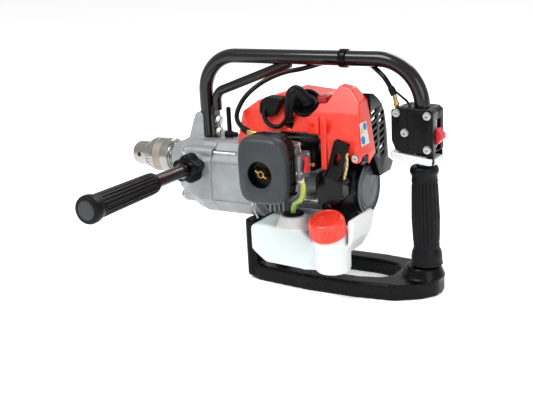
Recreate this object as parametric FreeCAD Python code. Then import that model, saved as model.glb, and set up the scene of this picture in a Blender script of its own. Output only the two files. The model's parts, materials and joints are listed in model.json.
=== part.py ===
import FreeCAD, Part
import math
import os

# Petrol engine drill: a small two-stroke engine that turns a keyed chuck through a reduction gear.
# Row frame in millimetres: the origin is the mouth of the chuck, on the spindle's axis.
# +X runs back from the chuck to the rear grip, +Z is up and -Y is the side of the air cleaner.
# The chuck is drawn in the row frame, and every other part from the engine's own datum in X.

V = FreeCAD.Vector
ALONG_X = V(1, 0, 0)
ALONG_Y = V(0, 1, 0)
ALONG_Z = V(0, 0, 1)
TOUCH = 0.05          # radial clearance of a shaft that runs in a bearing
GAP = 0.4             # clearance between separate bodies
WALL = 2.5            # moulded and cast walls

# Driving dimensions
ENGINE_X = -7.0       # the engine's datum in the row frame
FLOOR_Z = -135.0      # underside of the base guard
CRANK_Z = -19.4       # crankshaft axis, below the spindle and parallel to it
CHUCK_LENGTH = 64.0
CHUCK_R = 21.5
CASE_X = (90.0, 149.0, 209.0)     # front, seam and rear of the gear case
CASE_HALF = 44.0
CASE_Z = (-60.0, 28.0)
CYLINDER_X = 270.0
STROKE = 28.0
BORE_R = 17.05
ROD_LENGTH = 52.0
TUBE_R = 8.65
TUBE_WALL = 2.0
TOP_Z = 129.0         # axis of the frame's top run
FRONT_LEG_X = 121.0
REAR_LEG_X = (401.5, 406.5)       # axis of the rear leg at the top run and at its foot
BOX_HALF = 17.5       # half width of the switch box
HANDLE_X = 127.5      # side handle's axis
HANDLE_Z = 1.5
CLEANER_X = 259.5     # centre of the air cleaner
CLEANER_Z = 21.0
STARTER_X = (298.0, 334.5)

# Reduction gear, with every wheel of module 1
MODULE = 1.0
PINION_TEETH = 10
FIRST_WHEEL_TEETH = 36
SECOND_PINION_TEETH = 12
OUTPUT_TEETH = 40
FIRST_GEAR_X = (146.0, 154.0)
SECOND_GEAR_X = (111.0, 123.0)
LAYSHAFT_R = 5.0

# Chuck jaws, which slide along bores that lean towards the axis
JAW_TILT = math.radians(14.0)
JAW_R = 3.4
JAW_LENGTH = 28.0
JAW_OPEN_R = 6.6
JAW_TRAVEL = 19.0     # along the tilted bore, from fully open to fully closed
JAW_TIP_X = 21.5
JAW_PHASE = math.radians(115.0)   # the first jaw's angle, from +Y towards +Z
JAW_INSET = 1.5       # at its tip, the jaw's own axis lies this far inside its gripping face


def block(x, y, z):
    return Part.makeBox(x[1] - x[0], y[1] - y[0], z[1] - z[0], V(x[0], y[0], z[0]))


def rod(start, end, radius):
    line = end - start
    return Part.makeCylinder(radius, line.Length, start, line)


def collar(start, end, outer, inner):
    return rod(start, end, outer).cut(rod(start, end, inner))


def shaft(x, radius, y=0.0, z=0.0):
    """A cylinder along X at (y, z)."""
    return rod(V(x[0], y, z), V(x[1], y, z), radius)


def ring(x, outer, inner, y=0.0, z=0.0):
    return shaft(x, outer, y, z).cut(shaft(x, inner, y, z))


def fuse(shapes):
    return shapes[0].multiFuse(shapes[1:]).removeSplitter()


def square_to(axis):
    """Two unit vectors at right angles to axis."""
    other = ALONG_Z if abs(axis.z) < 0.9 else ALONG_X
    first = other.cross(axis).normalize()
    return first, axis.cross(first).normalize()


def lathe(profile, base=V(0, 0, 0), axis=ALONG_X):
    """A solid of revolution. profile is a list of (distance along the axis, radius)."""
    along = V(axis).normalize()
    out = square_to(along)[0]
    points = [base + along * s + out * r for s, r in profile]
    face = Part.Face(Part.makePolygon(points + points[:1]))
    return face.revolve(base, along, 360)


def arc_at(before, corner, after, radius=None):
    """The arc that rounds a corner: as large as the shorter run allows, unless a radius is given."""
    back = (before - corner).normalize()
    ahead = (after - corner).normalize()
    half = back.getAngle(ahead) / 2
    shorter = min(before.distanceToPoint(corner), after.distanceToPoint(corner))
    largest = 0.45 * shorter * math.tan(half)
    size = largest if radius is None else min(radius, largest)
    inward = (back + ahead).normalize()
    middle = corner + inward * (size / math.sin(half) - size)
    reach = size / math.tan(half)
    return corner + back * reach, middle, corner + ahead * reach, size


def rounded_wire(points, radius=None, closed=False):
    """Straight runs joined by tangent arcs. radius is one value, or a value for each corner."""
    count = len(points)
    corners = range(count) if closed else range(1, count - 1)
    arcs = []
    for order, i in enumerate(corners):
        size = radius[order] if isinstance(radius, (list, tuple)) else radius
        arcs.append(arc_at(points[i - 1], points[i], points[(i + 1) % count], size))
    edges = []
    at = arcs[-1][2] if closed else points[0]
    for first, middle, last, size in arcs:
        if at.distanceToPoint(first) > 1e-6:
            edges.append(Part.LineSegment(at, first).toShape())
        edges.append(Part.Arc(first, middle, last).toShape())
        at = last
    if not closed:
        edges.append(Part.LineSegment(at, points[-1]).toShape())
    return Part.Wire(edges)


def pipe(path, radius):
    """A round bar along a wire."""
    first = path.OrderedEdges[0]
    start = first.valueAt(first.FirstParameter)
    tangent = first.tangentAt(first.FirstParameter)
    if first.Orientation == "Reversed":
        start = first.valueAt(first.LastParameter)
        tangent = first.tangentAt(first.LastParameter) * -1
    circle = Part.Wire(Part.Circle(start, tangent, radius).toShape())
    return path.makePipeShell([circle], True, False)


def cord(name, points, radius):
    """A cord's solid, with its bend radii and its volume printed as a check of the sweep."""
    radii = [arc_at(*points[i - 1 : i + 2])[3] for i in range(1, len(points) - 1)]
    path = rounded_wire(points)
    solid = pipe(path, radius)
    share = solid.Volume / (math.pi * radius**2 * path.Length)
    print(name, "length", round(path.Length, 1), "radii", [round(r) for r in radii], "volume", round(share, 3))
    return solid


def plate(outline, low, high, axis, radius=0.0, inward=0.0):
    """A prism of a closed outline along axis "x", "y" or "z", with its corners rounded.
    inward moves every side in by that much, as for the room inside a wall."""
    place = {
        "x": lambda a, b: V(low, a, b),
        "y": lambda a, b: V(a, low, b),
        "z": lambda a, b: V(a, b, low),
    }[axis]
    points = [place(a, b) for a, b in outline]
    if radius:
        wire = rounded_wire(points, radius, closed=True)
    else:
        wire = Part.makePolygon(points + points[:1])
    face = Part.Face(wire)
    if inward:
        face = face.makeOffset2D(-inward)
    way = {"x": ALONG_X, "y": ALONG_Y, "z": ALONG_Z}[axis]
    return face.extrude(way * (high - low))


def rectangle(a, b):
    return [(a[0], b[0]), (a[1], b[0]), (a[1], b[1]), (a[0], b[1])]


def mirrored(outline):
    """An outline in X and Y, given for -Y from front to rear, completed on the other side."""
    return outline + [(x, -y) for x, y in reversed(outline) if abs(y) > 1e-6]


def hexagon(seat, way, across_flats, height):
    """A hexagonal prism that stands on seat and points along way."""
    along = V(way).normalize()
    first, second = square_to(along)
    corner = across_flats / 2 / math.cos(math.pi / 6)
    points = []
    for i in range(6):
        angle = i * math.pi / 3
        points.append(seat + first * (corner * math.cos(angle)) + second * (corner * math.sin(angle)))
    return Part.Face(Part.makePolygon(points + points[:1])).extrude(along * height)


def hex_bolt(seat, way, length, diameter=6.0):
    """A flanged hex bolt. seat is under its head, and way points out of its head."""
    along = V(way).normalize()
    flange = rod(seat, seat + along * 1.2, diameter * 1.05)
    head = hexagon(seat, along, diameter * 1.65, diameter * 0.85)
    return fuse([flange, head, rod(seat + along, seat - along * length, diameter / 2)])


def pan_screw(seat, way, length, diameter=4.0):
    along = V(way).normalize()
    top = seat + along * (diameter * 0.6)
    first, second = square_to(along)
    head = rod(seat, top, diameter)
    for side, other in ((first, second), (second, first)):
        slot = Part.makeBox(diameter * 1.1, 0.8, 1.4, V(-diameter * 0.55, -0.4, -1.0))
        turn = FreeCAD.Matrix(
            side.x, other.x, along.x, top.x,
            side.y, other.y, along.y, top.y,
            side.z, other.z, along.z, top.z,
            0, 0, 0, 1,
        )
        head = head.cut(slot.transformGeometry(turn))
    return fuse([head, rod(seat + along * 0.2, seat - along * length, diameter / 2)])


def soften(shape, radius, keep=lambda edge: True):
    """Fillets the chosen edges."""
    edges = [e for e in shape.Edges if keep(e)]
    return shape.makeFillet(radius, edges)


def gear(x, y, z, teeth, facing):
    """A spur gear along X with a tooth centred at the angle facing, from +Y towards +Z."""
    pitch_r = MODULE * teeth / 2
    root_r = pitch_r - 1.0 * MODULE
    tip_r = pitch_r + 0.75 * MODULE
    step = 2 * math.pi / teeth
    points = []
    for i in range(teeth):
        middle = facing + i * step
        for radius, part in ((root_r, -0.3), (tip_r, -0.11), (tip_r, 0.11), (root_r, 0.3)):
            angle = middle + part * step
            points.append(V(x[0], y + radius * math.cos(angle), z + radius * math.sin(angle)))
    return Part.Face(Part.makePolygon(points + points[:1])).extrude(ALONG_X * (x[1] - x[0]))


def layshaft_centre():
    """The layshaft is one gear pair away from the spindle and the other from the crankshaft."""
    to_spindle = MODULE * (SECOND_PINION_TEETH + OUTPUT_TEETH) / 2
    to_crank = MODULE * (PINION_TEETH + FIRST_WHEEL_TEETH) / 2
    z = (to_spindle**2 - to_crank**2 + CRANK_Z**2) / (2 * CRANK_Z)
    return math.sqrt(to_spindle**2 - z**2), z


LAY_Y, LAY_Z = layshaft_centre()
CRANK = V(0, 0, CRANK_Z)


# Frame ------------------------------------------------------------------------------------------

def frame_path():
    foot = FLOOR_Z + 20
    return rounded_wire(
        [
            V(FRONT_LEG_X, 0, CASE_Z[1] + 1.5),
            V(FRONT_LEG_X, 0, TOP_Z),
            V(REAR_LEG_X[0], 0, TOP_Z),
            V(REAR_LEG_X[1], 0, foot),
        ],
        [48.0, 52.0],
    )


def frame_tube():
    path = frame_path()
    return pipe(path, TUBE_R).cut(pipe(path, TUBE_R - TUBE_WALL))


def frame_solid():
    """The space that the frame tube fills, for what is clamped on it."""
    return pipe(frame_path(), TUBE_R)


def rear_leg_point(z):
    share = (TOP_Z - z) / (TOP_Z - FLOOR_Z - 20)
    return V(REAR_LEG_X[0] + (REAR_LEG_X[1] - REAR_LEG_X[0]) * share, 0, z)


BRACE_R = 5.75
BRACE_X = FRONT_LEG_X + TUBE_R + BRACE_R + 0.6
BRACE_FLAT = (FRONT_LEG_X + TUBE_R + 0.3, FRONT_LEG_X + TUBE_R + 5.3)


def brace_tube():
    """Bent tube whose lower end is flattened and bolted to the back of the front leg."""
    points = [V(BRACE_X, 0, 62.0), V(BRACE_X, 0, 84.0), V(240.0, 0, 122.0)]
    bar = pipe(rounded_wire(points, 16.0), BRACE_R)
    outline = [(-7.5, 29), (7.5, 29), (7.5, 56), (5.5, 68), (-5.5, 68), (-7.5, 56)]
    return fuse([bar, plate(outline, BRACE_FLAT[0], BRACE_FLAT[1], "x", 2.0)]).cut(frame_solid())


def cable_clip():
    """A ring round the top run that holds the cable under it."""
    x = (306.0, 314.0)
    round_tube = shaft(x, TUBE_R + 2.0, 0, TOP_Z)
    round_cable = shaft(x, CABLE_R + 1.8, CABLE_AT_CLIP.y, CABLE_AT_CLIP.z)
    return fuse([round_tube, round_cable]).cut(frame_solid())


def rear_grip():
    """Fluted rubber sleeve with a barrel and a flared lower collar."""
    top = rear_leg_point(12.5)
    along = (rear_leg_point(-100.0) - top).normalize()
    sleeve = lathe(
        [(0, 0), (0, 15.0), (4, 16.5), (7, 16.5), (11, 14.3), (38, 15.4), (60, 16.0), (83, 15.2),
         (95, 14.6), (99, 16.8), (104, 17.4), (111, 17.4), (115, 18.6), (115, 0)],
        top,
        along,
    )
    return sleeve.cut(frame_solid())


GUARD_Z = FLOOR_Z + 19.0


def base_guard():
    """A loop on the floor: two arms from the block under the rear grip, with uprights at the front."""
    outer = mirrored([(190, -35), (208, -44), (280, -52), (335, -52), (384, -46), (410, -30), (424, -12)])
    slot = mirrored([(214, -22), (280, -30), (335, -29), (360, -23), (371, -10)])
    floor_loop = plate(outer, FLOOR_Z, GUARD_Z, "z", 22.0)
    floor_loop = floor_loop.cut(plate(slot, FLOOR_Z - 1, GUARD_Z + 1, "z", 12.0))
    floor_loop = floor_loop.cut(block((180, 216), (-20, 20), (FLOOR_Z - 1, GUARD_Z + 1)))
    top = CASE_Z[0]
    uprights = []
    for side in (-1, 1):
        y = sorted((side * 22.0, side * 43.0))
        uprights.append(plate(rectangle((191, 207), y), FLOOR_Z + 4, top, "z", 5.0))
    cross = block((192, 206), (-40, 40), (top - 7, top))
    saddle_base = plate(
        mirrored([(370, -29), (390, -29), (414, -20), (421, -8)]), GUARD_Z - 1, GUARD_Z, "z", 6.0
    )
    foot = rear_leg_point(FLOOR_Z + 32)
    cone = Part.makeCone(25.0, 19.5, 13.0, V(foot.x - 4, 0, GUARD_Z), ALONG_Z)
    guard = fuse([floor_loop, saddle_base, cone, cross] + uprights)
    return guard.cut(frame_solid())


# Gear case and drive ----------------------------------------------------------------------------

def octagon(x, half, low, high, corner):
    points = [
        (-half, low + corner), (-half + corner, low), (half - corner, low), (half, low + corner),
        (half, high - corner), (half - corner, high), (-half + corner, high), (-half, high - corner),
    ]
    vectors = [V(x, y, z) for y, z in points]
    return Part.makePolygon(vectors + vectors[:1])


def gear_room(x, far=CASE_HALF - 2.5):
    """The room for the gears in the case, bevelled like the case's own corners."""
    near, low, top, corner = -34.0, -44.0, CASE_Z[1] - 4, 19.0
    outline = [
        (near, low + corner), (near + corner, low), (far - corner, low), (far, low + corner),
        (far, top - corner), (far - corner, top), (near + corner, top), (near, top - corner),
    ]
    return plate(outline, x[0], x[1], "x")


CASE_BOLTS = [(-33.0, 16.0, 110.0), (33.0, 16.0, 110.0), (-25.0, -42.0, 99.0), (25.0, -42.0, 99.0)]
TUBE_BOLT_Z = (35.0, 49.0)
HANDLE_STUD_R = 6.0


def handle_point(y):
    return V(HANDLE_X, y, HANDLE_Z)


def gear_case_front():
    """Cast front half: nose boss, bracket for the frame's front leg and the spindle's bearings."""
    low, high = CASE_Z
    body = Part.makeLoft(
        [
            octagon(CASE_X[0], 27.0, -45.0, 18.0, 15.0),
            octagon(CASE_X[0] + 21, CASE_HALF - 4, low + 2, high, 24.0),
            octagon(CASE_X[0] + 40, CASE_HALF, low, high, 20.0),
            octagon(CASE_X[1], CASE_HALF, low, high, 20.0),
        ],
        True,
        True,
    )
    nose = lathe([(72.2, 0), (72.2, 17.0), (74, 19.0), (81, 20.5), (90, 25.0), (100, 25.0), (100, 0)])
    web = plate([(91, 15), (98, 28), (106, 50), (110.5, 60), (121, 60), (121, 20)], -11.0, 11.0, "y", 4.0)
    bosses = [shaft((x, CASE_X[1]), 7.5, y, z) for y, z, x in CASE_BOLTS]
    handle_boss = rod(handle_point(-30), handle_point(-CASE_HALF - 0.6), 13.0)
    shift_boss = block((141, 147), (-4.8, 4.8), (24, 36.8))
    case = fuse([body, nose, web, handle_boss, shift_boss] + bosses)
    front_room = gear_room((108.0, 126.5), far=34.0)
    rear_room = gear_room((139.5, CASE_X[1] + 1))
    for cut in (
        front_room.cut(rod(handle_point(-29), handle_point(-50), 13.5)),
        rear_room,
        shaft((60, 150), 10.6),
        shaft((79.0, 90.0), 14.0),
        shaft((127.5, 139.6), 14.0),
        shaft((100.5, 160), LAYSHAFT_R + 0.8, LAY_Y, LAY_Z),
        shaft((100.5, 109), 9.5, LAY_Y, LAY_Z),
        frame_solid(),
        shaft((130, 150), 3.2 + TOUCH, 0, 32.5),
    ):
        case = case.cut(cut)
    return case


def gear_case_rear():
    """Cast rear half, open at the back round the clutch."""
    low, high = CASE_Z
    body = Part.makeLoft(
        [octagon(CASE_X[1], CASE_HALF, low, high, 20.0), octagon(CASE_X[2], CASE_HALF, low, high, 20.0)],
        True,
        True,
    )
    clutch_room = shaft((174.0, 210.0), 32.0, 0, CRANK_Z)
    for cut in (
        gear_room((CASE_X[1] - 1, 157.0)),
        clutch_room,
        shaft((150, 175), LAYSHAFT_R + 0.8, 0, CRANK_Z),
        shaft((158.0, 173.0), 10.0, 0, CRANK_Z),
        shaft((156.0, 165.0), 9.5, LAY_Y, LAY_Z),
    ):
        body = body.cut(cut)
    return body


CHUCK_REAR = CHUCK_LENGTH - ENGINE_X      # the chuck's rear face, from the engine's datum


def output_spindle():
    """Carries the output gear between two bearings, with a threaded nose for the chuck."""
    return lathe(
        [(63.2, 0), (63.2, 6.35), (CHUCK_REAR, 6.35), (CHUCK_REAR, 10.0), (79.2, 10.0), (79.2, 9.95),
         (90.0, 9.95), (90.0, 9.0), (140.0, 9.0), (140.0, 0)]
    )


def mesh_angle(y, z):
    """The angle at the spindle of the line to a gear's centre."""
    return math.atan2(z, y)


def output_gear():
    facing = mesh_angle(LAY_Y, LAY_Z)
    wheel = gear(SECOND_GEAR_X, 0, 0, OUTPUT_TEETH, facing)
    hub = shaft((SECOND_GEAR_X[0], 126.0), 13.0)
    return fuse([wheel, hub]).cut(shaft((100, 130), 9.0))


def intermediate_gear():
    """Layshaft with the large first wheel and the small second pinion in one piece."""
    to_spindle = mesh_angle(-LAY_Y, -LAY_Z)
    pinion = gear((SECOND_GEAR_X[0] - 1, SECOND_GEAR_X[1] + 1), LAY_Y, LAY_Z, SECOND_PINION_TEETH,
                  to_spindle + math.pi / SECOND_PINION_TEETH)
    to_crank = mesh_angle(-LAY_Y, CRANK_Z - LAY_Z)
    wheel = gear(FIRST_GEAR_X, LAY_Y, LAY_Z, FIRST_WHEEL_TEETH, to_crank)
    return fuse([shaft((101, 164), LAYSHAFT_R - TOUCH, LAY_Y, LAY_Z), pinion, wheel])


CLUTCH_X = (176.5, 198.0)
DRUM_R = 27.5


def clutch_drum():
    """Clutch drum, its shaft and the first pinion."""
    from_crank = mesh_angle(LAY_Y, LAY_Z - CRANK_Z)
    pinion = gear((FIRST_GEAR_X[0] - 0.5, FIRST_GEAR_X[1] + 1), 0, CRANK_Z, PINION_TEETH,
                  from_crank + math.pi / PINION_TEETH)
    neck = shaft((154, 177), LAYSHAFT_R - TOUCH, 0, CRANK_Z)
    cup = shaft(CLUTCH_X, DRUM_R, 0, CRANK_Z).cut(shaft((179, 199), DRUM_R - 2, 0, CRANK_Z))
    return fuse([pinion, neck, cup])


def clutch_shoes():
    """Two centrifugal shoes on a hub, inside the drum."""
    shoes = ring((183, 196), DRUM_R - 2.6, 12.0, 0, CRANK_Z)
    gap = block((182, 197), (-30, 30), (CRANK_Z - 2, CRANK_Z + 2))
    hub = ring((182, 197), 10.5, 7.0, 0, CRANK_Z)
    arms = block((184, 195), (-4, 4), (CRANK_Z - 12.5, CRANK_Z + 12.5)).cut(shaft((180, 200), 7.0, 0, CRANK_Z))
    return fuse([shoes.cut(gap), hub, arms])


BEARINGS = [
    ((79.2, 89.8), 14.0, 10.0, 0.0, 0.0),
    ((127.6, 138.0), 14.0, 9.05, 0.0, 0.0),
    ((101.2, 108.0), 9.5, LAYSHAFT_R, LAY_Y, LAY_Z),
    ((157.2, 164.0), 9.5, LAYSHAFT_R, LAY_Y, LAY_Z),
    ((158.2, 165.0), 10.0, LAYSHAFT_R, 0.0, CRANK_Z),
    ((166.0, 172.8), 10.0, LAYSHAFT_R, 0.0, CRANK_Z),
    ((229.0, 239.0), 14.0, 7.0 + TOUCH, 0.0, CRANK_Z),
    ((288.0, 297.0), 14.0, 7.0 + TOUCH, 0.0, CRANK_Z),
]


def shaft_bearings():
    """Ball bearings as plain rings, grooved between their races."""
    solids = []
    for x, outer, inner, y, z in BEARINGS:
        middle = (outer + inner) / 2
        groove = ring((x[0] - 1, x[0] + 0.8), middle + 1.0, middle - 1.0, y, z)
        solids.append(ring(x, outer, inner, y, z).cut(groove))
    return Part.makeCompound(solids)


SHIFT_Z = 32.5


def shift_lever():
    """Forward and reverse: a rod that rocks about a short shaft along X."""
    pin = shaft((140.6, 162.0), 3.2, 0, SHIFT_Z)
    hub = shaft((147.4, 156.0), 4.1, 0, SHIFT_Z)
    upright = rod(V(151.5, 0, SHIFT_Z), V(151.5, 0, 64.0), 2.9)
    cap = Part.makeSphere(2.9, V(151.5, 0, 64.0))
    return fuse([pin, hub, upright, cap])


# Chuck ------------------------------------------------------------------------------------------

SLEEVE_X = (23.5, 61.0)
NOSE_R = 15.2
BODY_R = 19.5


def jaw_frame(index):
    """The jaw's outward direction and the direction of its bore, which leans in towards the mouth."""
    angle = JAW_PHASE + index * 2 * math.pi / 3
    out = V(0, math.cos(angle), math.sin(angle))
    return out, (ALONG_X * math.cos(JAW_TILT) + out * math.sin(JAW_TILT)).normalize()


def jaw_bore(index, radius, extra):
    out, back = jaw_frame(index)
    tip = V(JAW_TIP_X, 0, 0) + out * (JAW_OPEN_R - JAW_INSET)
    reach = JAW_TRAVEL + 6 if extra else 0.0
    end = JAW_LENGTH + (1.2 if extra else 0.0)
    return rod(tip - back * reach, tip + back * end, radius)


MOUTH = (7.3, 15.0)       # radius and depth of the mouth, in front of the wider room for the jaws
KEY_HOLE_X = 13.5
THREAD_X = CHUCK_LENGTH - 7.8


def chuck_body():
    profile = [
        (0, 0), (0, 9.5), (2.2, 13.4), (6.0, NOSE_R), (27.5, NOSE_R), (34.5, BODY_R),
        (SLEEVE_X[1] + 0.6, BODY_R), (SLEEVE_X[1] + 0.6, 17.6), (CHUCK_LENGTH, 15.5), (CHUCK_LENGTH, 0),
    ]
    body = lathe(profile)
    for index in range(3):
        body = body.cut(jaw_bore(index, JAW_R + 0.08, True))
        out = jaw_frame(index)[0] * -1
        body = body.cut(rod(V(KEY_HOLE_X, 0, 0) + out * 9.3, V(KEY_HOLE_X, 0, 0) + out * 20, 3.0))
    body = body.cut(shaft((-1, MOUTH[1]), MOUTH[0]))
    body = body.cut(shaft((MOUTH[1], THREAD_X - 2.4), MOUTH[0] + 0.5))
    return body.cut(shaft((THREAD_X, CHUCK_LENGTH + 1), 6.35))


def chuck_sleeve():
    """Turned by the key: a bevel gear at the front and a knurled barrel."""
    x0, x1 = SLEEVE_X
    outer = lathe(
        [(x0, 0), (x0, 17.0), (x0 + 9.0, CHUCK_R), (x1 - 1.2, CHUCK_R), (x1, 20.6), (x1, 0)]
    )
    inner = lathe(
        [(x0 - 1, 0), (x0 - 1, NOSE_R + TOUCH), (27.5, NOSE_R + TOUCH), (27.9, NOSE_R + 0.5),
         (34.1, BODY_R + 0.4), (46.0, BODY_R + 0.4), (46.0, BODY_R + TOUCH), (x1 + 1, BODY_R + TOUCH), (x1 + 1, 0)]
    )
    sleeve = outer.cut(inner)
    teeth = 28
    notch = plate([(x0 - 1, 16.2), (x0 - 1, 30), (x0 + 8.5, 30), (x0 + 8.5, 20.6)], -0.8, 0.8, "y")
    notches = []
    for i in range(teeth):
        cut = notch.copy()
        cut.rotate(V(0, 0, 0), ALONG_X, i * 360 / teeth)
        notches.append(cut)
    return sleeve.cut(Part.makeCompound(notches))


def chuck_jaw(index):
    """One jaw, fully open: a slanted pin with a gripping face that fits a round shank."""
    out, back = jaw_frame(index)
    side = ALONG_X.cross(out)
    pin = jaw_bore(index, JAW_R, False)
    closed_shift = math.sin(JAW_TILT) * JAW_TRAVEL
    apex = out * (closed_shift + 0.25)
    far = 30.0
    wedge_points = [
        apex,
        apex + (out * math.cos(math.pi / 3) + side * math.sin(math.pi / 3)) * far,
        apex + (out * math.cos(math.pi / 3) - side * math.sin(math.pi / 3)) * far,
    ]
    wedge = Part.Face(Part.makePolygon(wedge_points + wedge_points[:1])).extrude(ALONG_X * 80)
    face_cut = shaft((0, 80), JAW_OPEN_R)
    return pin.common(wedge).cut(face_cut)


# Engine -----------------------------------------------------------------------------------------

PIN_LOW_Z = CRANK_Z - STROKE / 2
PISTON_PIN_Z = PIN_LOW_Z + ROD_LENGTH
CROWN_RISE = 12.0
BLOCK_TOP_Z = 8.0
WEB_X = ((CYLINDER_X - 16.0, CYLINDER_X - 7.5), (CYLINDER_X + 7.5, CYLINDER_X + 16.0))
CRANKCASE_END = 298.0


def crankcase():
    outer = shaft((CASE_X[2], CRANKCASE_END), 31.0, 0, CRANK_Z)
    flange = shaft((CASE_X[2], 216.0), 40.0, 0, CRANK_Z)
    deck_x = (CYLINDER_X - 24, CYLINDER_X + 24)
    deck = block(deck_x, (-24, 24), (CRANK_Z, BLOCK_TOP_Z))
    fins = [block((x, x + 2.2), (-33.5, 33.5), (CRANK_Z - 30, CRANK_Z + 14)) for x in range(222, 246, 6)]
    coil_post = block((294.5, 300.8), (-7, 7), (CRANK_Z, 21.0))
    body = fuse([outer, flange, deck, coil_post] + fins)
    for cut in (
        block((deck_x[0] - 1, deck_x[1] + 0.3), (-26, 26), (BLOCK_TOP_Z, 30)),
        shaft((WEB_X[0][0] - 1.5, WEB_X[1][1] + 1.5), 24.0, 0, CRANK_Z),
        shaft((200, 302), 8.0, 0, CRANK_Z),
        shaft((228.9, 239.0), 14.0, 0, CRANK_Z),
        shaft((288.0, 297.0), 14.0, 0, CRANK_Z),
        rod(V(CYLINDER_X, 0, CRANK_Z), V(CYLINDER_X, 0, BLOCK_TOP_Z + 1), BORE_R + 0.6),
        shaft((208, 211.0), 32.0, 0, CRANK_Z),
    ):
        body = body.cut(cut)
    return body


INTAKE_Z = 24.0


def cylinder():
    """Finned barrel and head, with an intake port on -Y and an exhaust port on +Y."""
    top = 66.0
    barrel = rod(V(CYLINDER_X, 0, BLOCK_TOP_Z), V(CYLINDER_X, 0, top + 6), 23.0)
    base = block((CYLINDER_X - 24, CYLINDER_X + 24), (-24, 24), (BLOCK_TOP_Z, BLOCK_TOP_Z + 4))
    fins = []
    for i in range(9):
        z = 22.0 + i * 6.0
        half = 27.0 - 1.0 * max(0, i - 5)
        fins.append(plate(
            rectangle((CYLINDER_X - half, CYLINDER_X + half), (-half, half)), z, z + 2.0, "z", 8.0
        ))
    intake = block((CYLINDER_X - 13, CYLINDER_X + 15), (-32, -15), (INTAKE_Z - 12, INTAKE_Z + 12))
    exhaust = block((CYLINDER_X - 14, CYLINDER_X + 14), (15, 32), (INTAKE_Z - 8, INTAKE_Z + 14))
    plug_boss = rod(V(CYLINDER_X, -6, 60), PLUG_SEAT, 9.0)
    body = fuse([barrel, base, intake, exhaust, plug_boss] + fins)
    for cut in (
        rod(V(CYLINDER_X, 0, BLOCK_TOP_Z - 1), V(CYLINDER_X, 0, top), BORE_R),
        rod(V(CARB_BORE_X, -40, INTAKE_Z), V(CARB_BORE_X, 0, INTAKE_Z), 6.5),
        rod(V(CYLINDER_X, 0, INTAKE_Z + 4), V(CYLINDER_X, 40, INTAKE_Z + 4), 8.0),
        rod(PLUG_SEAT, PLUG_SEAT + PLUG_WAY * 60, 11.0),
    ):
        body = body.cut(cut)
    return body


def crankshaft():
    """Both halves of the built-up crank. The pin that joins them goes with the rod."""
    front = lathe([(182, 0), (182, 7.0), (WEB_X[0][0], 7.0), (WEB_X[0][0], 22.5), (WEB_X[0][1], 22.5),
                   (WEB_X[0][1], 0)], CRANK)
    rear = lathe([(WEB_X[1][0], 0), (WEB_X[1][0], 22.5), (WEB_X[1][1], 22.5), (WEB_X[1][1], 7.0),
                  (316.5, 7.0), (316.5, 0)], CRANK)
    return Part.makeCompound([front, rear])


def flywheel():
    """Magnet wheel that carries the fan's blades on its rear face."""
    x = (301.5, 308.0)
    wheel = ring(x, 34.0, 7.0, 0, CRANK_Z)
    hub = ring((x[0], 316.0), 13.0, 7.0, 0, CRANK_Z)
    blades = []
    for i in range(14):
        blade = block((x[1] - 0.5, 315.0), (15.0, 33.0), (-1.1, 1.1))
        blade.translate(CRANK)
        blade.rotate(CRANK, ALONG_X, i * 360 / 14)
        blades.append(blade)
    return fuse([wheel, hub] + blades)


def ignition_coil():
    core = block((300.8, 313.0), (-7, 7), (15.4, 19.5))
    winding = block((301.5, 312.0), (-10, 10), (16.2, 21.2))
    return fuse([core, winding])


def piston():
    crown = PISTON_PIN_Z + CROWN_RISE
    body = rod(V(CYLINDER_X, 0, PISTON_PIN_Z - 13), V(CYLINDER_X, 0, crown), BORE_R - TOUCH)
    hollow = rod(V(CYLINDER_X, 0, PISTON_PIN_Z - 14), V(CYLINDER_X, 0, crown - 4), 13.8)
    bosses = fuse([
        shaft((CYLINDER_X - 15, CYLINDER_X - 6.2), 6.5, 0, PISTON_PIN_Z),
        shaft((CYLINDER_X + 6.2, CYLINDER_X + 15), 6.5, 0, PISTON_PIN_Z),
    ])
    body = fuse([body.cut(hollow), bosses.common(rod(V(CYLINDER_X, 0, -50), V(CYLINDER_X, 0, 90), 14.5))])
    for rise in (CROWN_RISE - 3, CROWN_RISE - 6):
        z = PISTON_PIN_Z + rise
        groove = rod(V(CYLINDER_X, 0, z), V(CYLINDER_X, 0, z + 1.2), 30.0)
        groove = groove.cut(rod(V(CYLINDER_X, 0, z), V(CYLINDER_X, 0, z + 1.2), 16.2))
        body = body.cut(groove)
    return body.cut(shaft((240, 290), 4.0, 0, PISTON_PIN_Z))


def connecting_rod():
    """The rod with the crank pin in its big end and the piston pin in its small end."""
    x = (CYLINDER_X - 4.5, CYLINDER_X + 4.5)
    big = shaft(x, 9.0, 0, PIN_LOW_Z)
    small = shaft(x, 7.0, 0, PISTON_PIN_Z)
    beam = block((x[0] + 1, x[1] - 1), (-4, 4), (PIN_LOW_Z, PISTON_PIN_Z))
    body = fuse([big, small, beam])
    crank_pin = shaft((WEB_X[0][1] + GAP, WEB_X[1][0] - GAP), 5.0, 0, PIN_LOW_Z)
    piston_pin = shaft((CYLINDER_X - 14, CYLINDER_X + 14), 4.0, 0, PISTON_PIN_Z)
    return Part.makeCompound([body.cut(crank_pin).cut(piston_pin), crank_pin, piston_pin])


PLUG_WAY = V(0.28, -0.72, 0.64).normalize()
PLUG_SEAT = V(CYLINDER_X, -14.0, 66.5)
PLUG_TIP = PLUG_SEAT + PLUG_WAY * 36.0
ELBOW_LOW = V(260.5, -47.5, 66.0)
ELBOW_HIGH = V(270.0, -46.5, 98.0)
CAP_R = 6.8


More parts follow.
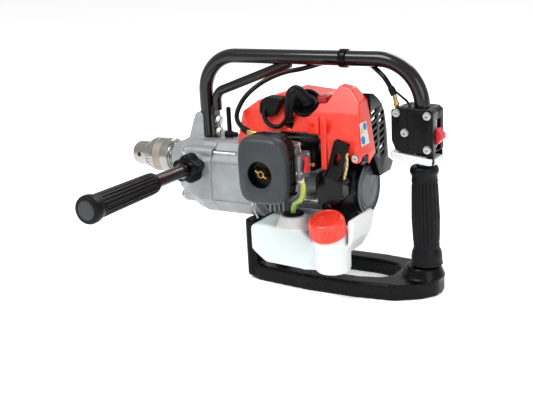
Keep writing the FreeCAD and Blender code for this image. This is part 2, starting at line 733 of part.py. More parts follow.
def spark_plug():
    base = PLUG_SEAT
    hexed = hexagon(base, PLUG_WAY, 16.0, 7.0)
    thread = rod(base - PLUG_WAY * 5, base + PLUG_WAY, 5.0)
    insulator = rod(base + PLUG_WAY * 6, base + PLUG_WAY * 20, 4.2)
    post = rod(base + PLUG_WAY * 19, base + PLUG_WAY * 24, 2.2)
    return fuse([hexed, thread, insulator, post])


def plug_cap():
    """Rubber elbow on the plug, with a round shield that covers the hole in the engine's cover."""
    shield_at = PLUG_SEAT + PLUG_WAY * 21
    shield = soften(rod(shield_at, shield_at + PLUG_WAY * 6.5, 15.0), 1.5)
    hood = soften(rod(shield_at - PLUG_WAY * 6, PLUG_TIP, 8.6), 2.5)
    elbow = soften(rod(ELBOW_LOW, ELBOW_HIGH, CAP_R), 3.0)
    middle = ELBOW_LOW * 0.4 + ELBOW_HIGH * 0.6
    joint = rod(shield_at + PLUG_WAY * 9, middle, CAP_R - 0.7)
    return fuse([shield, hood, elbow, joint]).cut(spark_plug())


LEAD_R = 2.5
LEAD_POINTS = [
    ELBOW_LOW + V(1.5, 0, 5), V(256.0, -50.0, 58.5), V(244.0, -53.5, 57.0), V(233.0, -52.5, 65.0),
    V(229.5, -47.0, 77.0), V(233.0, -42.0, 84.0),
]


def ignition_lead():
    return cord("ignition_lead", LEAD_POINTS, LEAD_R).cut(plug_cap())


def lead_boot():
    """Rubber hood where the lead goes into the engine's cover."""
    outline = [(224, 71), (225, 84), (233, 90.5), (254, 89), (243, 69), (234, 67)]
    return plate(outline, -48.0, -32.0, "y", 4.0)


# Engine cover -----------------------------------------------------------------------------------

COVER_TOP = [(169, 6), (172, 24), (196, 70), (216, 84), (252, 94), (288, 90), (303, 84), (316, 103),
             (330, 100), (343, 86), (351, 30), (351, 4)]
COVER_PLAN = [(168, -14), (168, 34), (352, 34), (352, -52), (222, -52), (206, -47)]
TAB_AT = (344.5, -50.5, 28.0)     # screw tab under the cover's rear edge
COVER_END = [(-50, 4), (-50, 46), (-40, 74), (-24, 106), (14, 106), (27, 80), (30, 40), (30, 4)]


def cover_solid(inward=0.0):
    """What is inside the cover's side outline (X, Z), end outline (Y, Z) and plan (X, Y)."""
    side = plate(COVER_TOP, -60, 60, "y", inward=inward)
    end = plate(COVER_END, 160, 360, "x", inward=inward)
    return side.common(end).common(plate(COVER_PLAN, -10, 120, "z", inward=inward))


def engine_cover():
    """Shell over the cylinder and the fan, with openings for the carburettor, plug and muffler."""
    shell = cover_solid().cut(cover_solid(WALL)).cut(block((160, 360), (-60, 60), (-10, 8.5)))
    case_room = plate(
        [(-CASE_HALF - GAP, -70), (-CASE_HALF - GAP, 8.5), (-24, CASE_Z[1] + GAP), (24, CASE_Z[1] + GAP),
         (CASE_HALF + GAP, 8.5), (CASE_HALF + GAP, -70)], 140.0, CASE_X[2] + GAP, "x"
    )
    carb_room = plate([(242, 0), (242, 44), (252, 52), (296, 52), (303, 44), (303, 0)], -70, -28, "y")
    starter_room = shaft((STARTER_X[0] - 1, 352), 46.0 + GAP, 0, CRANK_Z)
    for cut in (
        case_room,
        carb_room,
        starter_room,
        rod(PLUG_SEAT, PLUG_SEAT + PLUG_WAY * 60, 16.0),
        rod(ELBOW_LOW - V(3, 0, 9), ELBOW_HIGH, CAP_R + 1.0),
        oriented_block(GRIP_FOOT, PULL_WAY, GRIP_OUT, (90.0, 20.0, 12.0)),
        shaft((CASE_X[2] - 1, 216.0 + GAP), 40.0 + GAP, 0, CRANK_Z),
        block((302.0, 360), (-11.5, 60), (-10, 120)),
        block((232.0, 303), (20.0, 60), (-10, 66)),
        block((290, 352), (-60, -29), (-10, 14)),
        block((332.0, 352), (-60, -29), (-10, 29.0)),
        lead_boot(),
    ):
        shell = shell.cut(cut)
    solids = sorted(shell.Solids, key=lambda s: s.Volume)
    pilaster = block((303.6, 310.5), (-53.0, -49.0), (9.0, 72.0))
    tab = rod(V(*TAB_AT), V(*TAB_AT) + V(0, 4, 0), 6.5)
    return fuse([solids[-1], pilaster.cut(solids[-1]), tab])


GUARD_TOP = [(-11, 30), (-11, 92.0), (-3, 91.0), (9, 84.5), (20, 76), (27, 66), (33, 44), (36, 10), (50, 2),
             (42, -7), (12, -7)]
GUARD_SIDE = [(30.6, -7), (30.6, 66), (42, 66), (54, 40), (58, 8), (58, -7)]
GUARD_STEP = [(25, -7), (25, 66), (42, 66), (54, 40), (58, 8), (58, -7)]


def muffler_guard():
    """Slotted plastic guard over the muffler, narrower behind the step at the muffler's outlet."""
    outer = plate(GUARD_TOP, 303.0, 345.5, "x")
    inner = plate(GUARD_TOP, 302.0, 343.0, "x", inward=2.4)
    side_outer = plate(GUARD_SIDE, 230.0, 303.0, "x")
    side_inner = plate([(29, -9), (29, 63), (40.5, 63), (51.5, 39), (55.5, 7.5), (55.5, -9)], 232.5, 304.0, "x")
    step = plate(GUARD_STEP, 302.0, 304.4, "x").cut(rod(V(300, 42, 28), V(306, 42, 28), 7.0))
    shell = fuse([outer.cut(inner), side_outer.cut(side_inner), step])
    slots = []
    for y, width, count, first in ((-8.5, 13.5, 7, 19.0), (12.0, 12.5, 7, 14.0)):
        for i in range(count):
            z = first + i * 7.8
            slots.append(plate(
                [(y, z), (y + width, z + 3.4), (y + width, z + 8.0), (y, z + 4.6)], 340.0, 348.0, "x"
            ))
    for i in range(5):
        x = 242.0 + i * 12
        slots.append(plate([(x, 5), (x + 6, 5), (x + 8, 45), (x + 2, 45)], 40.0, 64.0, "y"))
    for low, high in ((307.0, 322.5), (325.5, 341.0)):
        slots.append(block((low, high), (12, 60), (16, 72)))
    shell = shell.cut(Part.makeCompound(slots))
    starter_room = shaft((STARTER_X[0] - 1, STARTER_X[1] + 2.0), 46.0 + GAP, 0, CRANK_Z)
    shell = shell.cut(starter_room).cut(shaft((200, 300), 31.0 + GAP, 0, CRANK_Z))
    return sorted(shell.Solids, key=lambda s: s.Volume)[-1]


def muffler():
    box = soften(block((236.5, 298.0), (33.0, 50.0), (-4.0, 36.0)), 4.0)
    port = block((CYLINDER_X - 13, CYLINDER_X + 13), (32.0, 36), (INTAKE_Z - 6, INTAKE_Z + 10))
    outlet = rod(V(294, 42, 28), V(301.5, 42, 28), 5.0)
    body = fuse([box, port, outlet])
    return body.cut(soften(block((238, 296.5), (34.5, 48.5), (-2.5, 34.5)), 3.0)).cut(
        rod(V(296, 42, 28), V(303, 42, 28), 3.8)
    )


# Intake side ------------------------------------------------------------------------------------

CARB_X = (262.0, 296.0)
CARB_Y = (-82.0, -54.0)
CARB_BORE_X = CYLINDER_X + 4.0


def intake_insulator():
    body = block((CARB_X[0] - 4, CARB_X[1] - 2), (CARB_Y[1], -32.0), (INTAKE_Z - 14, INTAKE_Z + 14))
    return body.cut(rod(V(CARB_BORE_X, -60, INTAKE_Z), V(CARB_BORE_X, -30, INTAKE_Z), 6.5))


def carburettor():
    """Diaphragm carburettor with its throttle drum, pump cover, fuel nipple and cable post."""
    x = CARB_X
    core = soften(block((x[0] + 2, x[1] - 4), CARB_Y, (INTAKE_Z - 14, INTAKE_Z + 10)), 2.5)
    drum = rod(V(CARB_BORE_X, -68, INTAKE_Z + 8), V(CARB_BORE_X, -68, INTAKE_Z + 20), 10.0)
    pump = block((x[0] + 3, x[1] - 5), (CARB_Y[0] + 2, CARB_Y[1] - 2), (INTAKE_Z - 19, INTAKE_Z - 13))
    nipple = rod(V(288, -70, INTAKE_Z - 17), FUEL_POINTS[0] - V(0, 0, 2), 2.0)
    post = block((252, 262), (-77, -60), (INTAKE_Z + 17, INTAKE_Z + 20))
    shelf = block((252, 276), (-77, -60), (INTAKE_Z + 17, INTAKE_Z + 20))
    stand = block((256.0, 259.2), (-77, -63), (INTAKE_Z + 19, INTAKE_Z + 32))
    throat = rod(V(CARB_BORE_X, -82, INTAKE_Z), V(CARB_BORE_X, -54, INTAKE_Z), 6.5)
    body = fuse([core, drum, pump, nipple, post, shelf, stand]).cut(throat)
    return body


CLEANER_HALF = (29.5, 38.0)
STUD_Z = 17.4


def cleaner_block(y, shrink, corner):
    hx, hz = CLEANER_HALF[0] - shrink, CLEANER_HALF[1] - shrink
    outline = rectangle((CLEANER_X - hx, CLEANER_X + hx), (CLEANER_Z - hz, CLEANER_Z + hz))
    return plate(outline, y[0], y[1], "y", corner)


def air_cleaner_body():
    """Tray behind the filter, with the stud that the wing nut runs on."""
    tray = cleaner_block((-99.0, -84.0), 1.0, 16.0).cut(cleaner_block((-100.0, -86.5), 3.5, 14.0))
    neck = rod(V(CARB_BORE_X, -84.2, INTAKE_Z), V(CARB_BORE_X, CARB_Y[0], INTAKE_Z), 9.5)
    tray = fuse([tray, neck]).cut(rod(V(CARB_BORE_X, -90, INTAKE_Z), V(CARB_BORE_X, -80, INTAKE_Z), 6.5))
    stud = rod(V(CLEANER_X, -84.5, STUD_Z), V(CLEANER_X, -112.0, STUD_Z), 2.5)
    return fuse([tray, stud])


def filter_element():
    foam = cleaner_block((-101.0, -86.6), 4.5, 13.0)
    return foam.cut(rod(V(CLEANER_X, -110, STUD_Z), V(CLEANER_X, -80, STUD_Z), 3.2))


RECESS_R = 15.0


def air_cleaner_cover():
    """Rounded cover with a round recess for the wing nut."""
    outer = cleaner_block((-115.0, -99.0), 0.0, 18.0)
    front = [e for e in outer.Edges if abs(e.BoundBox.YMin + 115) < 1e-6 and e.BoundBox.YLength < 1e-6]
    outer = outer.makeFillet(5.0, front)
    outer = outer.cut(cleaner_block((-112.5, -98.0), 2.5, 15.5))
    centre = V(CLEANER_X, 0, STUD_Z)
    well = rod(centre + V(0, -113.5, 0), centre + V(0, -101.2, 0), RECESS_R + 2.2)
    outer = fuse([outer, well])
    outer = outer.cut(rod(centre + V(0, -116, 0), centre + V(0, -103.6, 0), RECESS_R))
    return outer.cut(rod(centre + V(0, -110, 0), centre + V(0, -98, 0), 3.0))


def wing_nut():
    """Brass nut with two wings, on the air cleaner's stud."""
    centre = V(CLEANER_X, 0, STUD_Z)
    hub = Part.makeCone(5.2, 3.9, 7.5, centre + V(0, -104.0, 0), V(0, -1, 0))
    wings = []
    for side in (-1, 1):
        wing = plate([(2, 0), (9.5, 4.5), (11, 3.0), (8, -3.0), (2, -3.5)], -1.0, 1.0, "z", 1.0)
        wing.rotate(V(0, 0, 0), ALONG_Z, -8)
        if side < 0:
            wing.rotate(V(0, 0, 0), ALONG_Y, 180)
        wing.rotate(V(0, 0, 0), ALONG_Y, 30)
        wing.translate(centre + V(0, -107.5, 0))
        wings.append(wing)
    nut = fuse([hub] + wings)
    return nut.cut(rod(centre + V(0, -116, 0), centre + V(0, -100, 0), 2.5 + TOUCH))


CHOKE_PIVOT = V(292.3, -74.0, 29.0)


def choke_lever():
    """Red paddle that turns about a short pin along X."""
    pin = rod(CHOKE_PIVOT, CHOKE_PIVOT + V(6.5, 0, 0), 1.6)
    x = CHOKE_PIVOT.x + 3.0
    outline = [(-76.2, 31.0), (-71.8, 31.0), (-71.0, 24.0), (-67.5, 14.5), (-80.5, 14.5), (-77.0, 24.0)]
    paddle = plate(outline, x, x + 2.6, "x", 1.2)
    return fuse([pin, paddle])


ADJUSTER = (V(222.0, -72.0, 55.0), V(256.0, -72.0, 50.0))
FERRULE = (V(377.2, -9.0, 76.4), V(373.6, -9.0, 92.0))


def cable_fittings():
    """Brass ends of the throttle cable: an adjuster with two nuts, and a ferrule in the switch box."""
    start, end = ADJUSTER
    way = (end - start).normalize()
    barrel = fuse([
        rod(start, start + way * 17, 2.9),
        rod(start + way * 16, end, 2.0),
        hexagon(start + way * 18.5, way, 9.0, 4.0),
        hexagon(start + way * 24.5, way, 9.0, 4.0),
    ])
    low, high = FERRULE
    up = (high - low).normalize()
    ferrule = fuse([rod(low, high, 2.3), rod(low + up * 4, low + up * 6.5, 3.4)])
    return Part.makeCompound([barrel, ferrule])


CABLE_R = 2.8
CABLE_AT_CLIP = V(310.0, 11.8, 126.0)
CABLE_POINTS = [
    FERRULE[1], V(364.0, -7.0, 108.0), V(351.0, -1.0, 116.6), V(333.0, 11.4, 124.0),
    CABLE_AT_CLIP + V(8, 0, 0), CABLE_AT_CLIP - V(14, 0, 0), V(276.0, 10.0, 121.0), V(258.0, -4.0, 116.0),
    V(238.0, -12.0, 113.5), V(212.0, -22.0, 102.0), V(197.5, -42.0, 85.0), V(199.0, -64.0, 62.0),
    ADJUSTER[0],
]


def throttle_cable():
    return cord("throttle_cable", CABLE_POINTS, CABLE_R).cut(frame_solid())


WIRE_POINTS = [
    V(393.0, -9.5, 76.5), V(391.5, -9.5, 83.0), V(382.0, -9.2, 90.5), V(369.4, -8.2, 98.9),
]


def switch_wire():
    """Thin wire from the stop switch to where it joins the cable's sleeve."""
    return cord("switch_wire", WIRE_POINTS, 1.3).cut(throttle_cable())


FUEL_R = 3.2
FUEL_POINTS = [
    V(288.0, -70.0, 6.0), V(289.5, -69.5, -10.0), V(283.0, -66.0, -22.0), V(271.0, -61.5, -27.0),
    V(269.0, -60.0, -40.0),
]


def fuel_line():
    return cord("fuel_line", FUEL_POINTS, FUEL_R).cut(carburettor())


# Tank -------------------------------------------------------------------------------------------

TANK_SIDE = [(216, -57), (216, -86), (234, -100), (290, -103), (300, -96), (302, -76), (297, -67.5),
             (284, -54.5), (224, -54.5)]
TANK_REAR = [(280, -103), (311, -100), (335, -81), (346.5, -62), (350.5, -39), (341.5, -37),
             (341, -67.5), (280, -67.5)]
TANK_Y = (-70.0, 58.0)
TANK_REAR_Y = (-70.0, -16.0)
CAP_WAY = V(0, -0.31, 0.95).normalize()
CAP_AT = V(319.0, -71.0, -55.0)
CAP_HEIGHT = 21.0
FILLER_R = 16.0
NECK_AT = V(268.0, -58.0, -41.0)


def fuel_tank():
    """Blow-moulded tank with a filler column on its near side and a raised neck for the fuel line."""
    parts = []
    for outline, reach, corner, edge in ((TANK_SIDE, TANK_Y, 7.0, 3.5), (TANK_REAR, TANK_REAR_Y, 4.0, 1.5)):
        body = plate(outline, reach[0], reach[1], "y", corner)
        ends = [e for e in body.Edges if e.BoundBox.YLength < 1e-6]
        parts.append(body.makeFillet(edge, ends))
    column = rod(V(319.5, -64.0, -101.0), V(319.5, -64.0, -72.0), 20.5)
    foot = [e for e in column.Edges if e.BoundBox.ZMax < -100]
    column = column.makeFillet(6.0, foot)
    shoulder = rod(CAP_AT - CAP_WAY * 20, CAP_AT - CAP_WAY * 1.2, 19.0)
    filler = rod(CAP_AT - CAP_WAY * 20, CAP_AT + CAP_WAY * 12, FILLER_R)
    neck = Part.makeCone(20.0, 15.0, 14.0, V(NECK_AT.x, NECK_AT.y, -55.5), ALONG_Z)
    outer = fuse(parts + [column, shoulder, filler, neck])
    inner = [plate(TANK_SIDE, TANK_Y[0] + 2.2, TANK_Y[1] - 2.2, "y", 7.0, inward=2.2),
             plate(TANK_REAR, TANK_REAR_Y[0] + 2.2, TANK_REAR_Y[1] - 2.2, "y", 4.0, inward=2.2)]
    inner_column = rod(V(319.5, -64.0, -96.0), V(319.5, -64.0, -74.0), 17.0)
    bore = rod(CAP_AT - CAP_WAY * 22, CAP_AT + CAP_WAY * 13, FILLER_R - 2.2)
    room = fuse(inner + [inner_column, bore])
    tank = outer.cut(room)
    tank = tank.cut(rod(V(NECK_AT.x, NECK_AT.y, -60), V(NECK_AT.x, NECK_AT.y, -40), 9.5))
    return sorted(tank.Solids, key=lambda s: s.Volume)[-1]


def tank_grommet():
    body = lathe([(0, 0), (0, 9.5), (13.5, 9.5), (13.5, 11.5), (16.5, 10.8), (16.5, 0)],
                 V(NECK_AT.x, NECK_AT.y, -55.0), ALONG_Z)
    return body.cut(fuel_line())


def fuel_cap():
    """Ribbed screw cap."""
    rim = rod(CAP_AT, CAP_AT + CAP_WAY * CAP_HEIGHT, 21.0)
    top = [e for e in rim.Edges if isinstance(e.Curve, Part.Circle)]
    top = [e for e in top if e.CenterOfMass.z > CAP_AT.z + CAP_HEIGHT / 2]
    rim = rim.makeFillet(3.0, top)
    cap = rim.cut(rod(CAP_AT - CAP_WAY, CAP_AT + CAP_WAY * (CAP_HEIGHT - 3), FILLER_R + GAP))
    first = square_to(CAP_WAY)[0]
    grooves = []
    for i in range(20):
        groove = rod(CAP_AT + first * 21.6 - CAP_WAY, CAP_AT + first * 21.6 + CAP_WAY * 16, 1.5)
        groove.rotate(CAP_AT, CAP_WAY, i * 18)
        grooves.append(groove)
    return cap.cut(Part.makeCompound(grooves))


# Starter ----------------------------------------------------------------------------------------

PULL_WAY = V(0.33, -0.14, 0.93).normalize()
GRIP_FOOT = V(316.2, -53.0, -3.0)
GRIP_LENGTH = 54.0
EYELET = V(329.2, -50.5, 1.0)
PULLEY_R = 21.0
PULLEY_X = (319.5, 327.0)


def oriented_block(origin, along, out, sizes):
    """A block centred on a line from origin along a direction. sizes: length, width, thickness."""
    length, width, thickness = sizes
    side = along.cross(out).normalize()
    face_out = side.cross(along).normalize()
    corner = origin - side * (width / 2) - face_out * (thickness / 2)
    points = [corner, corner + side * width, corner + side * width + face_out * thickness,
              corner + face_out * thickness]
    return Part.Face(Part.makePolygon(points + points[:1])).extrude(along * length)


GRIP_OUT = V(0, -1, 0)


def starter_grip():
    """Flat pull handle, parked upright in its pocket, with a finger slot."""
    body = oriented_block(GRIP_FOOT, PULL_WAY, GRIP_OUT, (GRIP_LENGTH, 17.0, 9.0))
    body = body.makeFillet(1.6, [e for e in body.Edges])
    side = PULL_WAY.cross(GRIP_OUT).normalize()
    across = side.cross(PULL_WAY).normalize() * 12
    for place, radius in ((37.0, 4.3), (30.0, 3.0)):
        centre = GRIP_FOOT + PULL_WAY * place
        body = body.cut(rod(centre - across, centre + across, radius))
    middle = oriented_block(GRIP_FOOT + PULL_WAY * 26, PULL_WAY, GRIP_OUT, (11.0, 5.2, 20.0))
    return body.cut(middle)


def starter_pocket():
    return oriented_block(GRIP_FOOT - PULL_WAY * GAP, PULL_WAY, GRIP_OUT, (60.0, 17.8, 9.8))


def starter_housing():
    """Black cup over the fan and the recoil pulley, with a raised round cover and the handle's pocket."""
    x0, x1 = STARTER_X
    outer = lathe([(x0, 0), (x0, 46.0), (314, 46.0), (324, 41.0), (331.5, 32.0), (x1, 31.3), (x1, 0)], CRANK)
    badge = lathe([(x1 - 0.5, 0), (x1 - 0.5, 25.0), (x1 + 1.2, 24.4), (x1 + 1.2, 0)], CRANK)
    shoulder = plate([(299, 5), (304, 12), (325, 12), (330, 1), (330, -18), (322, -25), (304, -25), (299, -18)],
                     -59.0, -30.0, "y", 3.0)
    inner = lathe([(x0 - 1, 0), (x0 - 1, 43.5), (313, 43.5), (322, 39.0), (329, 30.0), (331.5, 29.0),
                   (331.5, 0)], CRANK)
    post = shaft((317.5, x1), 5.0, 0, CRANK_Z)
    eyelet = collar(EYELET - PULL_WAY * 2.5, EYELET + PULL_WAY * 2.5, 4.4, 2.0)
    seat = rod(EYELET - V(0, -8, 3), EYELET, 4.0)
    body = fuse([outer, badge, shoulder]).cut(inner)
    body = fuse([body, post, eyelet, seat]).cut(starter_pocket())
    coil_room = block((296, 315), (-12, 12), (13.0, 24.5))
    body = body.cut(pipe(rounded_wire(ROPE_POINTS, 6.0), 2.0)).cut(coil_room)
    return sorted(body.Solids, key=lambda s: s.Volume)[-1]


ROPE_R = 1.7
ROPE_POINTS = [
    V(323.2, -19.0, -10.0), V(325.5, -41.0, -12.5), EYELET - PULL_WAY * 7, EYELET + PULL_WAY * 4,
    GRIP_FOOT + V(13.2, 0.5, 3.0) + PULL_WAY * 28, GRIP_FOOT + V(8.0, 0.0, 1.0) + PULL_WAY * 40,
]


def starter_rope():
    """The coil on the pulley and the run out to the handle."""
    coil = ring((321.3, 325.1), PULLEY_R - 1.0, PULLEY_R - 4.3, 0, CRANK_Z)
    run = pipe(rounded_wire(ROPE_POINTS, 6.0), ROPE_R)
    run = run.cut(shaft((310, 330), PULLEY_R - 1.0, 0, CRANK_Z)).cut(starter_grip())
    run = sorted(run.Solids, key=lambda s: s.Volume)[-1]
    return Part.makeCompound([coil, run])


def starter_pulley():
    wheel = ring(PULLEY_X, PULLEY_R, 5.0 + TOUCH, 0, CRANK_Z)
    groove = ring((321.0, 325.4), PULLEY_R + 5, PULLEY_R - 4.6, 0, CRANK_Z)
    wheel = wheel.cut(groove)
    for i in range(2):
        dog = ring((317.6, 320.0), 10.5, 6.5, 0, CRANK_Z)
        sector = block((317, 321), (-12, 12), (-3, 3))
        sector.translate(CRANK)
        sector.rotate(CRANK, ALONG_X, 90 * i)
        wheel = fuse([wheel, dog.common(sector)])
    return wheel


# Controls at the rear ---------------------------------------------------------------------------

BOX_REAR = 420.5
BOX_OUTLINE = [(372.5, 76.5), (372.5, 43), (377.0, 32), (386, 29.3), (BOX_REAR, 29.3), (BOX_REAR, 74.5),
               (416, 78.5), (384, 80)]
SWITCH_Z = (31.5, 66.0)
KNOB_Z = (38.0, 55.5)
EAR_Y = (12.0, -14.5)
EAR_WIDE = 2.5
PLATE_TILT = 7.0      # degrees that the throttle plate falls towards its pin
TILT_AT = V(396, 0, 24)


def tilted(shape):
    """A shape drawn for a level throttle plate, turned to the plate's slope."""
    return shape.rotate(TILT_AT, ALONG_Y, PLATE_TILT)


def switch_box():
    """Both shells of the switch box, before they are parted at Y = 0."""
    outer = plate(BOX_OUTLINE, -BOX_HALF, BOX_HALF, "y", 2.5)
    sides = [e for e in outer.Edges if e.BoundBox.YLength < 1e-6]
    outer = outer.makeFillet(2.0, sides)
    room = plate([(375.5, 74), (375.5, 44), (380, 34), (387, 32), (414.5, 32), (414.5, 75.5), (384, 77)],
                 -BOX_HALF + WALL, BOX_HALF - WALL, "y", 2.0)
    ears = []
    for y in EAR_Y:
        ears.append(plate([(412, 31), (413.0, 17.5), (BOX_REAR, 17.5), (BOX_REAR - 0.5, 31)],
                          y, y + EAR_WIDE, "y", 1.0))
    box = fuse([outer.cut(room)] + ears)
    recess = block((416.5, 421), (-7.3, 7.3), SWITCH_Z)
    stem_slot = block((407, 421), (-2.4, 2.4), (SWITCH_Z[0] + 3, SWITCH_Z[1] - 3))
    arm_slot = block((400.0, 412.0), (9.4, 14.6), (28, 33))
    pin = rod(V(416.8, -18, 24), V(416.8, 18, 24), 2.0 + TOUCH)
    tilted(pin)
    wire_hole = pipe(rounded_wire(WIRE_POINTS), 1.3)
    for cut in (recess, stem_slot, arm_slot, pin, wire_hole, frame_solid(), rod(*FERRULE, 2.3)):
        box = box.cut(cut)
    return box


def switch_box_near():
    return switch_box().cut(block((370, 440), (0, 30), (10, 90)))


def switch_box_far():
    return switch_box().cut(block((370, 440), (-30, 0), (10, 90)))


def throttle_lever():
    """Light plate under the switch box: its front is pressed down about a pin at the rear."""
    outline = [(370.0, -16.0), (394, -18.5), (416, -18.5), (421.5, -13), (421.5, 13), (416, 18.5), (394, 18.5),
               (370.0, 16.0)]
    body = plate(outline, 19.3, 26.8, "z", 3.0)
    tube = rear_leg_point(24.0)
    slot = plate(rectangle((tube.x - TUBE_R - 2.6, tube.x + TUBE_R + 2.0), (-TUBE_R - 0.7, TUBE_R + 0.7)),
                 10, 40, "z", 4.0)
    body = body.cut(slot)
    for y in EAR_Y:
        body = body.cut(block((410.5, 440), (y - GAP, y + EAR_WIDE + GAP), (10, 40)))
    arm = block((405.0, 409.0), (10.0, 13.8), (24, 46))
    pin = rod(V(416.8, -17, 24), V(416.8, 17, 24), 2.0)
    lever = fuse([body, arm, pin])
    tilted(lever)
    return lever


def switch_knob():
    """Red sliding stop switch."""
    outline = [(416.9, KNOB_Z[0]), (421.5, KNOB_Z[0]), (425.0, 43.0), (427.0, 45.0), (427.0, 49.0),
               (425.0, 51.0), (421.5, KNOB_Z[1]), (416.9, KNOB_Z[1])]
    knob = plate(outline, -6.0, 6.0, "y", 0.8)
    stem = block((413.0, 417.5), (-1.9, 1.9), (44.0, 50.0))
    return fuse([knob, stem])


# Side handle ------------------------------------------------------------------------------------

def side_handle_rod():
    profile = [(30, 0), (30, HANDLE_STUD_R), (70.5, HANDLE_STUD_R), (70.5, 9.5), (74.0, 9.5), (78.0, 8.0),
               (240.0, 8.0), (240.0, 0)]
    return lathe(profile, handle_point(0), V(0, -1, 0))


def side_handle_grip():
    profile = [(128, 0), (128, 10.5), (131, 12.4), (138, 12.8), (190, 13.2), (232, 13.8), (238, 16.0),
               (244, 16.2), (248, 14.5), (248, 0)]
    return lathe(profile, handle_point(0), V(0, -1, 0)).cut(side_handle_rod())


def side_handle_knob():
    """Star knob that locks the handle to the case."""
    near = handle_point(-CASE_HALF - 1.0)
    far = handle_point(-70.0)
    parts = [rod(near, far, 12.0)]
    for i in range(5):
        lobe = rod(near + V(0, -5, 0) + V(13.3, 0, 0), far + V(13.3, 0, 0), 5.2)
        lobe.rotate(handle_point(0), ALONG_Y, 72 * i + 15)
        parts.append(lobe)
    return fuse(parts).cut(rod(near + V(0, 5, 0), far + V(0, -5, 0), HANDLE_STUD_R + TOUCH))


# Fasteners --------------------------------------------------------------------------------------

def hex_bolts():
    bolts = [hex_bolt(V(x, y, z), V(-1, 0, 0), 70.0) for y, z, x in CASE_BOLTS]
    for z in TUBE_BOLT_Z:
        bolts.append(hex_bolt(V(BRACE_FLAT[1], 0, z), ALONG_X, 29.0))
    for y in (-12.0, 12.0):
        bolts.append(hex_bolt(V(199, y, CASE_Z[0] - 7), V(0, 0, -1), 18.0))
    foot = rear_leg_point(FLOOR_Z + 26)
    bolts.append(hex_bolt(V(foot.x, 21.5, foot.z), V(0, 1, 0), 40.0))
    return Part.makeCompound(bolts)


BOX_SCREWS = [(379.0, 73.5), (414.5, 71.5), (388.5, 52.0), (414.5, 34.5)]


def housing_screws():
    near = V(0, -1, 0)
    screws = [pan_screw(V(x, -BOX_HALF, z), near, 29.0) for x, z in BOX_SCREWS]
    screws.append(pan_screw(V(*TAB_AT), near, 10.0))
    return Part.makeCompound(screws)


def seated(host, *pieces):
    """The host with the space of the pieces that go through it taken out."""
    for piece in pieces:
        host = host.cut(piece)
    return host


def build():
    bolts = hex_bolts()
    screws = housing_screws()
    handle = side_handle_rod()
    cable = throttle_cable()
    wire = switch_wire()
    fittings = cable_fittings()
    lead = ignition_lead()
    fuel = fuel_line()
    cable = seated(cable, fittings)
    engine_base = seated(crankcase(), ignition_coil())
    starter = starter_housing()
    parts = {
        "frame_tube": seated(frame_tube(), bolts),
        "brace_tube": seated(brace_tube(), bolts),
        "hex_bolts": bolts,
        "cable_clip": seated(cable_clip(), cable),
        "rear_grip": rear_grip(),
        "base_guard": seated(base_guard(), bolts),
        "switch_box_near": seated(switch_box_near(), screws, fittings),
        "switch_box_far": seated(switch_box_far(), screws, fittings),
        "housing_screws": screws,
        "cable_fittings": fittings,
        "throttle_cable": cable,
        "switch_wire": wire,
        "gear_case_front": seated(gear_case_front(), bolts, handle),
        "gear_case_rear": seated(gear_case_rear(), bolts),
        "shaft_bearings": shaft_bearings(),
        "crankcase": engine_base,
        "cylinder": seated(cylinder(), spark_plug()),
        "ignition_coil": ignition_coil(),
        "spark_plug": spark_plug(),
        "plug_cap": plug_cap(),
        "ignition_lead": lead,
        "lead_boot": seated(lead_boot(), lead),
        "engine_cover": seated(engine_cover(), screws, lead, starter),
        "muffler": muffler(),
        "muffler_guard": seated(muffler_guard(), engine_base),
        "intake_insulator": intake_insulator(),
        "carburettor": seated(carburettor(), fittings),
        "air_cleaner_body": air_cleaner_body(),
        "filter_element": filter_element(),
        "air_cleaner_cover": air_cleaner_cover(),
        "fuel_tank": fuel_tank(),
        "tank_grommet": tank_grommet(),
        "fuel_line": fuel,
        "starter_housing": starter,
        "side_handle_rod": handle,
        "side_handle_grip": side_handle_grip(),
        "side_handle_knob": side_handle_knob(),
        "output_spindle": output_spindle(),
        "output_gear": output_gear(),
        "chuck_body": chuck_body(),
        "chuck_sleeve": chuck_sleeve(),
        "intermediate_gear": intermediate_gear(),
        "clutch_drum": clutch_drum(),
        "crankshaft": crankshaft(),
        "flywheel": flywheel(),
        "clutch_shoes": clutch_shoes(),
        "piston": piston(),
        "connecting_rod": connecting_rod(),
        "starter_pulley": starter_pulley(),
        "starter_grip": starter_grip(),
        "starter_rope": starter_rope(),
        "throttle_lever": throttle_lever(),
        "switch_knob": switch_knob(),
        "choke_lever": choke_lever(),
        "shift_lever": shift_lever(),
        "fuel_cap": fuel_cap(),
        "wing_nut": wing_nut(),
    }
    for index, letter in enumerate("abc"):
        parts["chuck_jaw_" + letter] = chuck_jaw(index)
    for name, shape in parts.items():
        if not name.startswith("chuck_"):
            shape.translate(V(ENGINE_X, 0, 0))
    return parts


os.makedirs("parts", exist_ok=True)
for name, shape in build().items():
    if not shape.isValid():
        print("not valid:", name)
    shape.exportStep("parts/" + name + ".step")
    box = shape.BoundBox
    print(name, len(shape.Solids), "solids", round(shape.Volume), "mm3",
          [round(v, 1) for v in (box.XMin, box.XMax, box.YMin, box.YMax, box.ZMin, box.ZMax)])
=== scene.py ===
import json
import math

import bmesh
import bpy
from mathutils import Matrix, Vector
from mathutils.bvhtree import BVHTree


